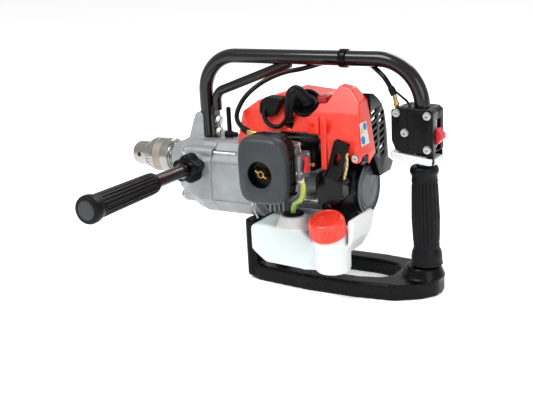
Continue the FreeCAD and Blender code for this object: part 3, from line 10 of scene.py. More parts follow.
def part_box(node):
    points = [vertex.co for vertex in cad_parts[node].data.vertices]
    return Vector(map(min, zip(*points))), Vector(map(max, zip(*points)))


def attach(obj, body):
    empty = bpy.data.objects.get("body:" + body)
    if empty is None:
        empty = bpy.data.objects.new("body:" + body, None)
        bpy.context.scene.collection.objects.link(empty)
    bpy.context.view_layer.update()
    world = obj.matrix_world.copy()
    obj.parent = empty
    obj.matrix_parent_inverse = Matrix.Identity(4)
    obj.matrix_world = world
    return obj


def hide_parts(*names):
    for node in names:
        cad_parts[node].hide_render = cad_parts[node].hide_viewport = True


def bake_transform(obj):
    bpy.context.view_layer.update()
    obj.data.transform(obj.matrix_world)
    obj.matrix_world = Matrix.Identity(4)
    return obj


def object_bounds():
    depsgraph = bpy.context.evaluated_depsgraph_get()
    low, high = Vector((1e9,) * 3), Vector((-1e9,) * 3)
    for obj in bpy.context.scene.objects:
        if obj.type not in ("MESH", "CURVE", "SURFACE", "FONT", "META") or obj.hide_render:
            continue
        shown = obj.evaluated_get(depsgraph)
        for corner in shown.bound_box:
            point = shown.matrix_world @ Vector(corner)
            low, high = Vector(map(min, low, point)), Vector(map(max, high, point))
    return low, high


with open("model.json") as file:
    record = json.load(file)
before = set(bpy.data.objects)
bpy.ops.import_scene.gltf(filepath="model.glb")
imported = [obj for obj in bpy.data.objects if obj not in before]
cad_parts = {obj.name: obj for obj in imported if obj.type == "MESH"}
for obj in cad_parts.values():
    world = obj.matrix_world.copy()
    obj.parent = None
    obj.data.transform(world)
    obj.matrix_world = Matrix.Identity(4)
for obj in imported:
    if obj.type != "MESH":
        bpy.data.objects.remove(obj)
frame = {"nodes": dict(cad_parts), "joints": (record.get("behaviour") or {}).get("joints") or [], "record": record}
cad_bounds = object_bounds()
NODES = frame["nodes"]
MM = 0.001
HEAD = "power_head"
WHITE = (1.0, 1.0, 1.0, 1.0)
X_AXIS = Vector((1, 0, 0))
Y_AXIS = Vector((0, 1, 0))
Z_AXIS = Vector((0, 0, 1))
ORIGIN = Vector((0, 0, 0))
ENGINE_X = -7.0       # the engine's datum in the row frame, in millimetres
TIP = 0.02            # the radius in millimetres at which a turned face meets its axis


def mm(x, y, z):
    """A point in millimetres from the engine's datum, as a place in metres in the row frame."""
    return Vector((x + ENGINE_X, y, z)) * MM


# Materials ------------------------------------------------

def linear(red, green, blue):
    """A colour from its usual 0 to 255 values, as Blender's linear values."""
    return tuple((v / 255) ** 2.2 for v in (red, green, blue)) + (1.0,)


class Finish:
    """A procedural material: one Principled shader, whose colour and gloss vary with noise.
    Colours are 0 to 255 values, and a texture's scale counts its features in a metre."""

    def __init__(self, name, colour, roughness=0.5, metallic=0.0, **sockets):
        self.material = bpy.data.materials.new(name)
        self.material.use_nodes = True
        self.tree = self.material.node_tree
        self.shader = self.tree.nodes["Principled BSDF"]
        self.colour = linear(*colour)
        self.height = None
        self.set("Base Color", self.colour)
        self.set("Roughness", roughness)
        self.set("Metallic", metallic)
        for socket, value in sockets.items():
            self.set(socket.replace("_", " "), value)
        self.material.diffuse_color = self.colour

    def set(self, socket, value):
        self.shader.inputs[socket].default_value = value

    def node(self, kind, **values):
        made = self.tree.nodes.new("ShaderNode" + kind)
        for key, value in values.items():
            if key in made.inputs:
                made.inputs[key].default_value = value
            else:
                setattr(made, key, value)
        return made

    def link(self, output, socket):
        self.tree.links.new(output, socket)

    def place(self, stretch=(1, 1, 1)):
        """Object coordinates, stretched along the row's axes."""
        coordinates = self.node("TexCoord")
        mapping = self.node("Mapping", Scale=stretch)
        self.link(coordinates.outputs["Object"], mapping.inputs["Vector"])
        return mapping.outputs["Vector"]

    def noise(self, scale, detail=3.0, stretch=(1, 1, 1)):
        texture = self.node("TexNoise", Scale=scale, Detail=detail)
        self.link(self.place(stretch), texture.inputs["Vector"])
        return texture.outputs["Fac"]

    def between(self, value, low, high, start=0.3, end=0.7):
        """Maps a value in start..end to low..high."""
        ranged = self.node("MapRange")
        for index, number in enumerate((start, end, low, high), 1):
            ranged.inputs[index].default_value = number
        self.link(value, ranged.inputs[0])
        return ranged.outputs[0]

    def blend(self, value, other):
        """Mixes another colour into the base colour where value is high."""
        mix = self.node("Mix", data_type="RGBA")
        base = self.shader.inputs["Base Color"]
        socket = [s for s in mix.inputs if s.name == "A" and s.type == "RGBA"][0]
        second = [s for s in mix.inputs if s.name == "B" and s.type == "RGBA"][0]
        if base.is_linked:
            self.link(base.links[0].from_socket, socket)
        else:
            socket.default_value = base.default_value
        second.default_value = linear(*other)
        self.link(value, mix.inputs[0])
        result = [s for s in mix.outputs if s.type == "RGBA"][0]
        self.link(result, base)
        return self

    def mottle(self, other, scale, amount=1.0, stretch=(1, 1, 1)):
        """Varies the colour towards another one in soft patches."""
        return self.blend(self.between(self.noise(scale, 4.0, stretch), 0.0, amount), other)

    def gloss(self, low, high, scale, stretch=(1, 1, 1)):
        """Varies the roughness between two values."""
        varied = self.between(self.noise(scale, 5.0, stretch), low, high)
        self.link(varied, self.shader.inputs["Roughness"])
        return self

    def bump(self, value, depth_mm, strength=1.0):
        """Adds a relief of about depth_mm to the surface."""
        bump = self.node("Bump", Strength=strength, Distance=depth_mm * MM)
        self.link(value, bump.inputs["Height"])
        if self.height is not None:
            self.link(self.height, bump.inputs["Normal"])
        self.height = bump.outputs["Normal"]
        self.link(self.height, self.shader.inputs["Normal"])
        return self

    def grain(self, scale, depth_mm, detail=3.0, stretch=(1, 1, 1)):
        return self.bump(self.noise(scale, detail, stretch), depth_mm)

    def worn_edges(self, colour, width_mm=0.6, amount=0.6):
        """Lightens or darkens the edges, where the rounded normal leaves the flat one."""
        bevel = self.node("Bevel", samples=4, Radius=width_mm * MM)
        geometry = self.node("NewGeometry")
        dot = self.node("VectorMath", operation="DOT_PRODUCT")
        self.link(bevel.outputs["Normal"], dot.inputs[0])
        self.link(geometry.outputs["Normal"], dot.inputs[1])
        edge = self.between(dot.outputs["Value"], amount, 0.0, 0.80, 0.98)
        return self.blend(edge, colour)

    def axis_value(self, axis):
        """The object coordinate along an axis, in metres."""
        split = self.node("SeparateXYZ")
        self.link(self.place(), split.inputs["Vector"])
        return split.outputs[axis]


def gloss_black(name):
    """Glossy black paint with a faint orange peel."""
    f = Finish(name, (14, 14, 16), Coat_Weight=0.45, Coat_Roughness=0.06, Specular_IOR_Level=0.25)
    f.gloss(0.16, 0.3, 60)
    f.grain(900, 0.012)
    return f.mottle((26, 26, 29), 45, 0.4).material


def moulded(name, colour, lighter, roughness=(0.42, 0.6), grain_mm=0.035, scale=1500, **sockets):
    """Moulded plastic: a fine spark-eroded grain, uneven gloss and paler rubbed edges."""
    f = Finish(name, colour, **sockets)
    f.mottle(lighter, 30, 0.18)
    f.gloss(roughness[0], roughness[1], 90)
    f.grain(scale, grain_mm)
    f.grain(scale * 0.12, grain_mm * 1.2)
    return f.worn_edges(lighter, 0.5, 0.35).material


def rubber(name):
    """Black rubber, a little dusty in its fine grain and on its edges."""
    dust = (28, 30, 33)
    f = Finish(name, (10, 11, 13), Specular_IOR_Level=0.17, Sheen_Weight=0.01)
    f.mottle(dust, 55, 0.2)
    f.gloss(0.36, 0.52, 120)
    f.grain(2200, 0.02)
    return f.worn_edges(dust, 0.7, 0.4).material


def cast_metal(name, colour, dark, metallic=0.35, grain_mm=0.12):
    """Sand-textured casting, darker in patches, with polished edges."""
    f = Finish(name, colour, metallic=metallic)
    f.mottle(dark, 35, 0.5)
    f.mottle((168, 171, 173), 260, 0.25)
    f.gloss(0.42, 0.62, 70)
    f.grain(700, grain_mm, 5.0)
    f.grain(120, grain_mm * 0.8)
    return f.worn_edges((196, 198, 200), 0.5, 0.6).material


def turned_steel(name, colour, roughness, axis_stretch=(1, 0.02, 0.02)):
    """Turned or ground steel, with fine lines across its axis, or plain with no stretch."""
    f = Finish(name, colour, metallic=1.0)
    f.mottle((140, 138, 132), 40, 0.5)
    f.gloss(roughness[0], roughness[1], 60, axis_stretch)
    f.grain(2600, 0.012, 2.0, axis_stretch)
    return f.worn_edges((238, 238, 236), 0.3, 0.5).material


def plated_steel(name, colour=(190, 190, 186), roughness=(0.22, 0.42)):
    """Zinc-plated steel of bolts and screws."""
    f = Finish(name, colour, metallic=0.95)
    f.mottle((150, 150, 140), 150, 0.6)
    f.gloss(roughness[0], roughness[1], 220)
    f.grain(1400, 0.015)
    return f.worn_edges((232, 232, 228), 0.3, 0.6).material


def brass(name):
    """Turned brass, duller in spots."""
    f = Finish(name, (196, 160, 96), metallic=0.95)
    f.mottle((150, 112, 60), 160, 0.6)
    f.gloss(0.2, 0.4, 240)
    f.grain(1800, 0.015)
    return f.worn_edges((236, 214, 160), 0.3, 0.6).material


def tank_plastic(name):
    """Milky translucent polyethylene with a slightly waxy surface."""
    f = Finish(name, (226, 230, 230), Subsurface_Weight=0.55, Subsurface_Scale=0.008,
               Specular_IOR_Level=0.45, Coat_Weight=0.1, Coat_Roughness=0.3)
    f.mottle((206, 213, 212), 28, 0.6)
    f.gloss(0.3, 0.46, 50)
    f.grain(420, 0.05)
    return f.material


def fuel_hose(name, top_z, bottom_z):
    """Clear tinted hose, yellow at one height and green at a lower one. Heights in metres."""
    f = Finish(name, (196, 196, 44), roughness=0.2, Subsurface_Weight=0.3, Subsurface_Scale=0.003,
               Coat_Weight=0.5, Coat_Roughness=0.1)
    f.blend(f.between(f.axis_value("Z"), 0.0, 1.0, top_z, bottom_z), (112, 158, 60))
    f.mottle((225, 225, 120), 300, 0.3)
    f.grain(900, 0.02)
    return f.material


def open_foam(name):
    """Dark foam with open cells."""
    f = Finish(name, (50, 50, 48), roughness=0.95)
    cells = f.node("TexVoronoi", Scale=1400)
    f.link(f.place(), cells.inputs["Vector"])
    f.bump(cells.outputs["Distance"], 0.4)
    return f.mottle((90, 90, 84), 300, 0.6).material


def braided(name):
    """Pale twisted cord: slanted bands along the rope."""
    pitch_mm = 1.6
    f = Finish(name, (206, 190, 120), roughness=0.85, Sheen_Weight=0.3)
    wave = f.node("TexWave", Scale=1 / (pitch_mm * MM) / 6.0, Distortion=1.2)
    wave.bands_direction = "DIAGONAL"
    f.link(f.place(), wave.inputs["Vector"])
    f.blend(f.between(wave.outputs["Fac"], 0.0, 0.7, 0.2, 0.9), (150, 132, 70))
    f.bump(wave.outputs["Fac"], 0.3)
    return f.material


FINISH = {
    "frame_paint": gloss_black("black_frame_paint"),
    "bright_steel": plated_steel("plated_steel"),
    "chuck_steel": turned_steel("polished_chuck_steel", (176, 174, 170), (0.12, 0.26)),
    "chuck_band": turned_steel("ground_chuck_sleeve", (172, 170, 166), (0.14, 0.3)),
    "case_alloy": cast_metal("cast_gear_case", (156, 161, 164), (126, 130, 133)),
    "engine_alloy": cast_metal("cast_engine", (128, 131, 133), (95, 97, 99), 0.5, 0.15),
    "muffler_steel": plated_steel("muffler_steel", (118, 110, 102), (0.4, 0.6)),
    "black_rubber": rubber("black_rubber"),
    "black_plastic": moulded("black_nylon", (8, 8, 10), (26, 27, 30), (0.22, 0.36), 0.02,
                             Specular_IOR_Level=0.15),
    "black_gloss": moulded("glossy_black_plastic", (8, 8, 10), (30, 30, 34), (0.14, 0.3), 0.012,
                           1200, Coat_Weight=0.16, Coat_Roughness=0.1, Specular_IOR_Level=0.16),
    "cover_grey": moulded("grey_cleaner_cover", (52, 55, 57), (84, 88, 90), (0.34, 0.48), 0.03,
                          Specular_IOR_Level=0.3),
    "cover_red": moulded("orange_red_plastic", (234, 50, 34), (246, 112, 92), (0.24, 0.4), 0.02,
                         1100, Coat_Weight=0.25, Coat_Roughness=0.2),
    "switch_red": moulded("red_knob_plastic", (214, 42, 52), (240, 108, 112), (0.26, 0.42),
                          0.015),
    "tank_plastic": tank_plastic("milky_tank_plastic"),
    "plate_grey": moulded("pale_grey_plastic", (206, 212, 214), (232, 236, 238), (0.36, 0.52)),
    "brass_fitting": brass("brass"),
    "filter_foam": open_foam("filter_foam"),
    "dark_steel": turned_steel("dark_gear_steel", (120, 119, 118), (0.3, 0.5), (1, 1, 1)),
    "rope_fibre": braided("starter_rope_fibre"),
    "line_plastic": fuel_hose("tinted_fuel_hose", 0.0, -0.03),
}


# Mesh tools -----------------------------------------------

def in_scene(name, data):
    """A new object of the scene that shows data."""
    obj = bpy.data.objects.new(name, data)
    bpy.context.scene.collection.objects.link(obj)
    return obj


def new_object(name, verts, faces):
    """A mesh object. Places in metres in the row frame."""
    mesh = bpy.data.meshes.new(name)
    mesh.from_pydata([tuple(v) for v in verts], [], faces)
    mesh.update()
    return in_scene(name, mesh)


def recalculate(obj):
    """Outward normals."""
    bm = bmesh.new()
    bm.from_mesh(obj.data)
    bmesh.ops.recalc_face_normals(bm, faces=bm.faces)
    bm.to_mesh(obj.data)
    bm.free()


def shade(obj, sharp_degrees=35.0):
    """Smooth shading with sharp edges kept where faces meet at more than an angle."""
    bm = bmesh.new()
    bm.from_mesh(obj.data)
    limit = math.radians(sharp_degrees)
    for face in bm.faces:
        face.smooth = True
    for edge in bm.edges:
        edge.smooth = len(edge.link_faces) == 2 and edge.calc_face_angle(0.0) < limit
    bm.to_mesh(obj.data)
    bm.free()


def evaluated_mesh(obj):
    """A new mesh of what an object looks like with its modifiers or its curve's bevel."""
    graph = bpy.context.evaluated_depsgraph_get()
    return bpy.data.meshes.new_from_object(obj.evaluated_get(graph), depsgraph=graph)


def bake_modifiers(obj):
    """Applies the modifiers to the mesh."""
    mesh = evaluated_mesh(obj)
    obj.modifiers.clear()
    obj.data = mesh


def soften_by_voxels(obj, voxel_mm, steps):
    """Joins what overlaps in a mesh, and smooths the joins."""
    remesh = obj.modifiers.new("remesh", "REMESH")
    remesh.mode = "VOXEL"
    remesh.voxel_size = voxel_mm * MM
    soft = obj.modifiers.new("soft", "SMOOTH")
    soft.factor = 0.5
    soft.iterations = steps
    bake_modifiers(obj)


def thicken(obj, thickness_mm, offset=-1.0):
    """Gives a sheet its thickness, inwards or evenly about it when offset is 0."""
    thick = obj.modifiers.new("thick", "SOLIDIFY")
    thick.thickness = thickness_mm * MM
    thick.offset = offset
    bake_modifiers(obj)


def put(obj, slot, body=HEAD, nodes=(), material=None, sharp=35.0):
    """Finishes a piece: its shading, its material (the slot's finish unless a material is given), its body, and
    the nodes that it replaces.
    """
    if obj.type == "MESH":
        recalculate(obj)
        shade(obj, sharp)
    obj.data.materials.clear()
    obj.data.materials.append(material or FINISH[slot])
    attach(obj, body)
    if nodes:
        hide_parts(*nodes)
    return obj


def body_of(node):
    """The body that a CAD node belongs to."""
    groups = frame["record"]["behaviour"]["bodies"]
    return [body for body, members in groups.items() if node in members][0]


def slot_of(node):
    """The record's material slot of a CAD node."""
    return [s["material_slot"] for s in frame["record"]["subparts"] if s["node"] == node][0]


def copy_of(node):
    """A copy of a CAD node's mesh, with its faces joined along their edges."""
    obj = in_scene(node + "_shape", NODES[node].data.copy())
    bm = bmesh.new()
    bm.from_mesh(obj.data)
    bmesh.ops.remove_doubles(bm, verts=bm.verts, dist=0.00001)
    bm.to_mesh(obj.data)
    bm.free()
    return obj


def crisp(node, width_mm):
    """The node with its edges rounded by a narrow bevel, as machined and moulded edges are."""
    obj = copy_of(node)
    bm = bmesh.new()
    bm.from_mesh(obj.data)
    bmesh.ops.dissolve_limit(bm, angle_limit=math.radians(0.8), verts=bm.verts, edges=bm.edges)
    bm.to_mesh(obj.data)
    bm.free()
    bevel = obj.modifiers.new("round", "BEVEL")
    bevel.width = width_mm * MM
    bevel.segments = 2
    bevel.limit_method = "ANGLE"
    bevel.angle_limit = math.radians(32)
    bevel.use_clamp_overlap = True
    bevel.miter_outer = "MITER_ARC"
    bake_modifiers(obj)
    return put(obj, slot_of(node), body_of(node), (node,), sharp=40.0)


def melted(node, voxel_mm, steps):
    """The node remeshed and smoothed, so that every edge flows like a casting's or a moulding's."""
    obj = copy_of(node)
    soften_by_voxels(obj, voxel_mm, steps)
    return put(obj, slot_of(node), body_of(node), (node,), sharp=180.0)


def frame_of(axis):
    """Two unit vectors square to an axis."""
    other = Z_AXIS if abs(axis.z) < 0.9 else X_AXIS
    first = other.cross(axis).normalized()
    return first, axis.cross(first).normalized()


def turned(name, profile, base, axis, count=64, relief=None, hollow=False):
    """A turned piece. profile lists (distance along the axis from base, radius) in millimetres.
    relief(distance, angle, radius) gives the radius where the piece isn't round.
    A hollow piece is a ring: its profile's last point joins its first, with no end faces."""
    axis = axis.normalized()
    first, second = frame_of(axis)
    verts, faces = [], []
    for s, r in profile:
        for i in range(count):
            angle = 2 * math.pi * i / count
            size = relief(s, angle, r) if relief else r
            outward = first * math.cos(angle) + second * math.sin(angle)
            verts.append(base + (axis * s + outward * size) * MM)
    for row in range(len(profile) - 1):
        for i in range(count):
            j = (i + 1) % count
            a = row * count
            faces.append((a + i, a + j, a + count + j, a + count + i))
    last = (len(profile) - 1) * count
    if hollow:
        faces += [(last + i, last + (i + 1) % count, (i + 1) % count, i) for i in range(count)]
    else:
        faces.append(tuple(reversed(range(count))))
        faces.append(tuple(last + i for i in range(count)))
    return new_object(name, verts, faces)


def rounded_profile(profile, radius, steps=4):
    """A profile with the corners between its ends rounded by short curves."""
    out = [profile[0]]
    for before, corner, after in zip(profile, profile[1:], profile[2:]):
        a, b, c = Vector(before), Vector(corner), Vector(after)
        reach = min(radius, (a - b).length * 0.45, (c - b).length * 0.45)
        start = b + (a - b).normalized() * reach
        end = b + (c - b).normalized() * reach
        for i in range(steps + 1):
            t = i / steps
            point = start * (1 - t) ** 2 + b * 2 * t * (1 - t) + end * t * t
            out.append((point.x, point.y))
    out.append(profile[-1])
    return out


def refine(profile, step):
    """A profile with points no further apart than step along it."""
    out = [profile[0]]
    for (s0, r0), (s1, r1) in zip(profile, profile[1:]):
        count = max(1, math.ceil(math.hypot(s1 - s0, r1 - r0) / step))
        for i in range(1, count + 1):
            out.append((s0 + (s1 - s0) * i / count, r0 + (r1 - r0) * i / count))
    return out


def curve_tube(name, points, radius_mm, sides=6, steps=14):
    """A smooth cord along a NURBS spline whose control points are given."""
    data = bpy.data.curves.new(name, "CURVE")
    data.dimensions = "3D"
    spline = data.splines.new("NURBS")
    spline.points.add(len(points) - 1)
    for point, place in zip(spline.points, points):
        point.co = (*place, 1.0)
    spline.order_u = 3
    spline.use_endpoint_u = True
    spline.resolution_u = steps
    data.bevel_depth = radius_mm * MM
    data.bevel_resolution = sides
    data.use_fill_caps = True
    return in_scene(name, data)


def as_mesh(obj):
    """A curve turned into a mesh object of the same name."""
    mesh = evaluated_mesh(obj)
    name = obj.name
    bpy.data.objects.remove(obj)
    return in_scene(name, mesh)


def bevelled_block(name, low, high, radius_mm, segments=3):
    """A block with rounded edges between two places in the row frame."""
    verts = [Vector((x, y, z)) for x in (low[0], high[0]) for y in (low[1], high[1])
             for z in (low[2], high[2])]
    faces = [(0, 1, 3, 2), (4, 6, 7, 5), (0, 4, 5, 1), (2, 3, 7, 6), (0, 2, 6, 4), (1, 5, 7, 3)]
    obj = new_object(name, verts, faces)
    bevel = obj.modifiers.new("round", "BEVEL")
    bevel.width = radius_mm * MM
    bevel.segments = segments
    bake_modifiers(obj)
    return obj


def join(name, objects):
    """Several meshes as one."""
    bm = bmesh.new()
    for obj in objects:
        part = obj.data.copy()
        part.transform(obj.matrix_world)
        bm.from_mesh(part)
        bpy.data.objects.remove(obj)
        bpy.data.meshes.remove(part)
    mesh = bpy.data.meshes.new(name)
    bm.to_mesh(mesh)
    bm.free()
    return in_scene(name, mesh)


def set_on(obj, seat, side, other, up):
    """Moves a mesh: its X, Y and Z turn to three ways, and its origin goes to the seat."""
    turn = Matrix((side, other, up)).transposed().to_4x4()
    obj.data.transform(Matrix.Translation(seat) @ turn)
    return obj


def cross_screw(name, seat, way, radius):
    """A pan-head screw with a cross recess, standing on seat. radius in millimetres."""
    height = radius * 0.62
    profile = [(-0.6, radius), (height * 0.55, radius), (height, radius * 0.62), (height, TIP)]
    head = turned(name, rounded_profile(profile, radius * 0.4), seat, way, 32)
    low = Vector((-0.6, -0.13, -0.35)) * radius * MM
    high = Vector((0.6, 0.13, 0.4)) * radius * MM
    first, second = frame_of(way)
    bars = [set_on(bevelled_block(name + "_bar", low, high, 0.05, 1), seat + way * height * MM,
                   side, other, way) for side, other in ((first, second), (second, first))]
    return carve(head, join(name + "_cutter", bars))


def carve(obj, cutter):
    """Cuts one mesh with another, and removes the cutter."""
    recalculate(obj)
    recalculate(cutter)
    boolean = obj.modifiers.new("cut", "BOOLEAN")
    boolean.operation = "DIFFERENCE"
    boolean.solver = "EXACT"
    boolean.use_self = True
    boolean.object = cutter
    bake_modifiers(obj)
    bpy.data.objects.remove(cutter)
    return obj


def cast_onto(target, places, way, lift_mm):
    """Places moved along way onto a mesh, then lifted off it."""
    tree = BVHTree.FromObject(target, bpy.context.evaluated_depsgraph_get())
    out = []
    for place in places:
        hit = tree.ray_cast(place, way)[0]
        out.append((hit if hit is not None else place) - way * lift_mm * MM)
    return out


def decal(name, corners, target, way, cells=10):
    """A thin sheet laid on a target mesh: its grid is cast along way onto the surface."""
    places, faces = [], []
    for r in range(cells + 1):
        for c in range(cells + 1):
            top = corners[0].lerp(corners[1], c / cells)
            bottom = corners[3].lerp(corners[2], c / cells)
            places.append(top.lerp(bottom, r / cells))
    for r in range(cells):
        for c in range(cells):
            a = r * (cells + 1) + c
            faces.append((a, a + 1, a + cells + 2, a + cells + 1))
    obj = new_object(name, cast_onto(target, places, way, 0.25), faces)
    thicken(obj, 0.2, 0.0)
    return obj


# Frame and grips ------------------------------------------

FLUTE_STEP = 1.6      # millimetres between the rings of points along a fluted grip


def flute(s, angle, ribs, depth, start, end, run):
    """How deep a fluted grip is cut at one point: full depth between start and end, less a run."""
    fade = max(0.0, min(1.0, (s - start) / run, (end - s) / run))
    groove = 0.5 - 0.5 * math.cos(ribs * angle)
    return fade * depth * groove ** 2.5


def make_rear_grip():
    """Fluted sleeve: a smooth neck, ribs along the hand's part, and a flared foot with a collar."""
    low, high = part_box("rear_grip")
    top = Vector((low.x + 16.5 * MM, 0, high.z))
    way = Vector((5.0, 0, -244.0)).normalized()      # the frame's rear leg leans back by so much
    profile = [(0, 9.2), (0.2, 14.6), (4, 16.2), (7, 16.3), (11, 14.2), (16, 14.6), (38, 15.4),
               (60, 16.0), (83, 15.2), (95, 14.5), (99, 16.6), (104, 17.4), (111, 17.3),
               (114.6, 18.4), (115, 9.2)]

    def relief(s, angle, r):
        ring = 0.35 if abs(s - 88) < 1.2 or abs(s - 20) < 1.0 else 0.0
        return r - flute(s, angle, 20, 1.15, 13, 94, 5) - ring

    sleeve = turned("rear_grip_sleeve", refine(rounded_profile(profile, 2.0), FLUTE_STEP),
                    top, way, 240, relief)
    put(sleeve, "black_rubber", HEAD, ("rear_grip",), sharp=50.0)


def make_side_handle():
    """Fluted grip on the side rod, closed by a smooth grey disc."""
    low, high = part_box("side_handle_grip")
    base = Vector(((low.x + high.x) / 2, high.y, (low.z + high.z) / 2))
    profile = [(0, 8.3), (0.2, 10.2), (3, 12.2), (10, 12.7), (62, 13.2), (104, 13.8),
               (110, 15.9), (116, 16.1), (119.6, 14.6), (119.8, 11.0), (118.6, 10.8), (118.6, TIP)]

    def relief(s, angle, r):
        return r - flute(s, angle, 18, 1.1, 8, 103, 4)

    grip = turned("side_grip_sleeve", refine(rounded_profile(profile, 1.4), FLUTE_STEP),
                  base, -Y_AXIS, 216, relief)
    put(grip, "black_rubber", HEAD, ("side_handle_grip",), sharp=50.0)
    face = rounded_profile([(117.8, 11.2), (119.2, 11.2), (119.9, 9.8), (120.0, TIP)], 0.8)
    put(turned("side_grip_disc", face, base, -Y_AXIS, 96), "cover_grey")


def make_lock_knob():
    """Star knob with five lobes and a domed face."""
    low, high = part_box("side_handle_knob")
    rod_low, rod_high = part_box("side_handle_rod")
    base = Vector(((rod_low.x + rod_high.x) / 2, high.y, (rod_low.z + rod_high.z) / 2))
    length = (high.y - low.y) / MM
    profile = rounded_profile([(0, 6.3), (0, 12.0), (3.5, 15.6), (length - 3, 16.2),
                               (length - 0.4, 13.4), (length, 9.0), (length, 6.3)], 2.2)

    def relief(s, angle, r):
        lobe = 0.5 + 0.5 * math.cos(5 * (angle - math.radians(15)))
        share = min(1.0, max(0.0, (r - 8.0) / 7.0))
        grip = 0.25 * math.cos(60 * angle) if 5 < s < length - 5 else 0.0
        return r + share * (3.9 * lobe ** 0.75 - 2.0 + grip)

    knob = turned("lock_knob", refine(profile, 1.2), base, -Y_AXIS, 300, relief, hollow=True)
    put(knob, "black_plastic", "handle_lock", ("side_handle_knob",), sharp=45.0)


# Chuck ----------------------------------------------------

def make_chuck_sleeve():
    """Ground sleeve with bevel teeth at its front and a matt knurled band, and a ring behind it."""
    low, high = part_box("chuck_sleeve")
    start, end, radius = low.x / MM, high.x / MM, high.z / MM
    teeth = 28
    knurls = 96
    band = (14.8, 26.2)       # from the sleeve's front, in millimetres
    sunk = radius - 0.35
    profile = [(start, 15.35), (start, 17.0), (start + 0.6, 17.6), (start + 8.6, sunk),
               (start + 9.2, radius), (start + band[0], radius), (start + band[0] + 0.35, sunk),
               (start + band[1] - 0.35, sunk), (start + band[1], radius), (end - 1.6, radius),
               (end - 0.3, radius - 0.9), (end, radius - 1.5), (end, 19.7)]

    def relief(s, angle, r):
        along = s - start
        if along < 8.8 and r > 16.0:
            tooth = math.cos(teeth * angle)
            return r - 1.1 * min(1.0, max(0.0, 0.5 - 2.2 * tooth))
        if band[0] + 0.4 < along < band[1] - 0.4:
            twist = 2 * math.pi * along / 2.4
            cross = max(abs(math.sin(0.5 * (knurls * angle + turn))) for turn in (twist, -twist))
            return r - 0.22 * cross
        return r

    sleeve = turned("chuck_sleeve_shape", refine(profile, 0.4), ORIGIN, X_AXIS, 672, relief,
                    hollow=True)
    put(sleeve, "chuck_band", "sleeve", ("chuck_sleeve",), sharp=30.0)
    paint = turned_steel("matt_knurled_band", (164, 154, 142), (0.45, 0.6), (1, 1, 1))
    sleeve.data.materials.append(paint)
    for face in sleeve.data.polygons:
        along = face.center.x / MM - start
        if band[0] < along < band[1] and face.normal.dot(X_AXIS) < 0.9:
            face.material_index = 1
    edge = rounded_profile([(0, 17.7), (0.3, 19.2), (1.6, 19.2), (1.9, 17.7)], 0.2)
    ring = turned("chuck_rear_ring", edge, X_AXIS * (end + 0.7) * MM, X_AXIS, 96, hollow=True)
    put(ring, "chuck_steel", "spindle")


# Caps, nuts and small parts -------------------------------

def make_fuel_cap():
    """Ribbed red cap with a raised ring and generic raised marks on its top."""
    joint = [j for j in frame["joints"] if j["name"] == "cap_turn"][0]
    base = Vector(joint["pos_m"])
    way = Vector(joint["axis"]).normalized()
    ribs = 40
    face = base + way * 20.1 * MM
    profile = rounded_profile([(0, 16.6), (0, 20.0), (1.2, 21.0), (16.5, 20.4), (20.0, 18.6),
                               (21.0, 16.6), (21.0, 15.8), (20.2, 15.0), (20.2, TIP)], 1.0)

    def relief(s, angle, r):
        fade = max(0.0, min(1.0, (s - 0.8) / 1.2, (17.5 - s) / 1.5))
        if r < 17.5:
            return r
        return r - fade * 1.1 * (0.5 - 0.5 * math.cos(ribs * angle)) ** 2

    cap = turned("fuel_cap_shell", refine(profile, 1.0), base, way, 400, relief)
    first, second = frame_of(way)
    marks = []
    for index in range(10):
        angle = math.radians(25 + index * 13)
        outward = first * math.cos(angle) + second * math.sin(angle)
        marks.append(raised_mark(face + outward * 11.2 * MM, way, outward, 1.4, 2.2))
    for offset in (-3.4, 0.0, 3.4):
        marks.append(raised_mark(face + (first * offset - second * 6) * MM, way, second, 2.0, 5.0))
    put(join("fuel_cap_top", [cap] + marks), "cover_red", "cap", ("fuel_cap",), sharp=45.0)


def raised_mark(centre, way, length_way, width, length):
    """A small rounded bar, 0.7 mm high, that stands on a surface. Sizes in millimetres."""
    bar = bevelled_block("mark", Vector((-width / 2, -length / 2, 0)) * MM,
                         Vector((width / 2, length / 2, 0.7)) * MM, 0.25, 2)
    return set_on(bar, centre, length_way.cross(way).normalized(), length_way, way)


# Cords ----------------------------------------------------

CABLE_POINTS = [
    mm(373.6, -9, 92), mm(364, -7, 108), mm(351, -1, 116.6), mm(333, 11.4, 124), mm(318, 11.8, 126),
    mm(296, 11.8, 126), mm(276, 10, 121), mm(258, -4, 116), mm(238, -12, 113.5), mm(212, -22, 102),
    mm(197.5, -42, 85), mm(199, -64, 62), mm(222, -72, 55),
]
WIRE_POINTS = [mm(393, -9.5, 76.5), mm(391.5, -9.5, 83), mm(382, -9.2, 90.5), mm(369.4, -8.2, 98.9)]
LEAD_POINTS = [
    mm(262, -47.5, 71), mm(256, -50, 58.5), mm(244, -53.5, 57), mm(233, -52.5, 65),
    mm(229.5, -47, 77), mm(233, -42, 84),
]
FUEL_POINTS = [
    mm(288, -70, 6), mm(289.5, -69.5, -10), mm(283, -66, -22), mm(271, -61.5, -27),
    mm(269, -60, -40),
]


def cable_boot(name, place, way):
    """Rubber boot where the cable's sleeve meets a brass end."""
    profile = rounded_profile([(-0.4, 2.9), (-0.4, 3.9), (7.0, 3.9), (9.5, 3.0)], 0.5)
    return put(turned(name, profile, place, way, 32, hollow=True), "black_rubber")


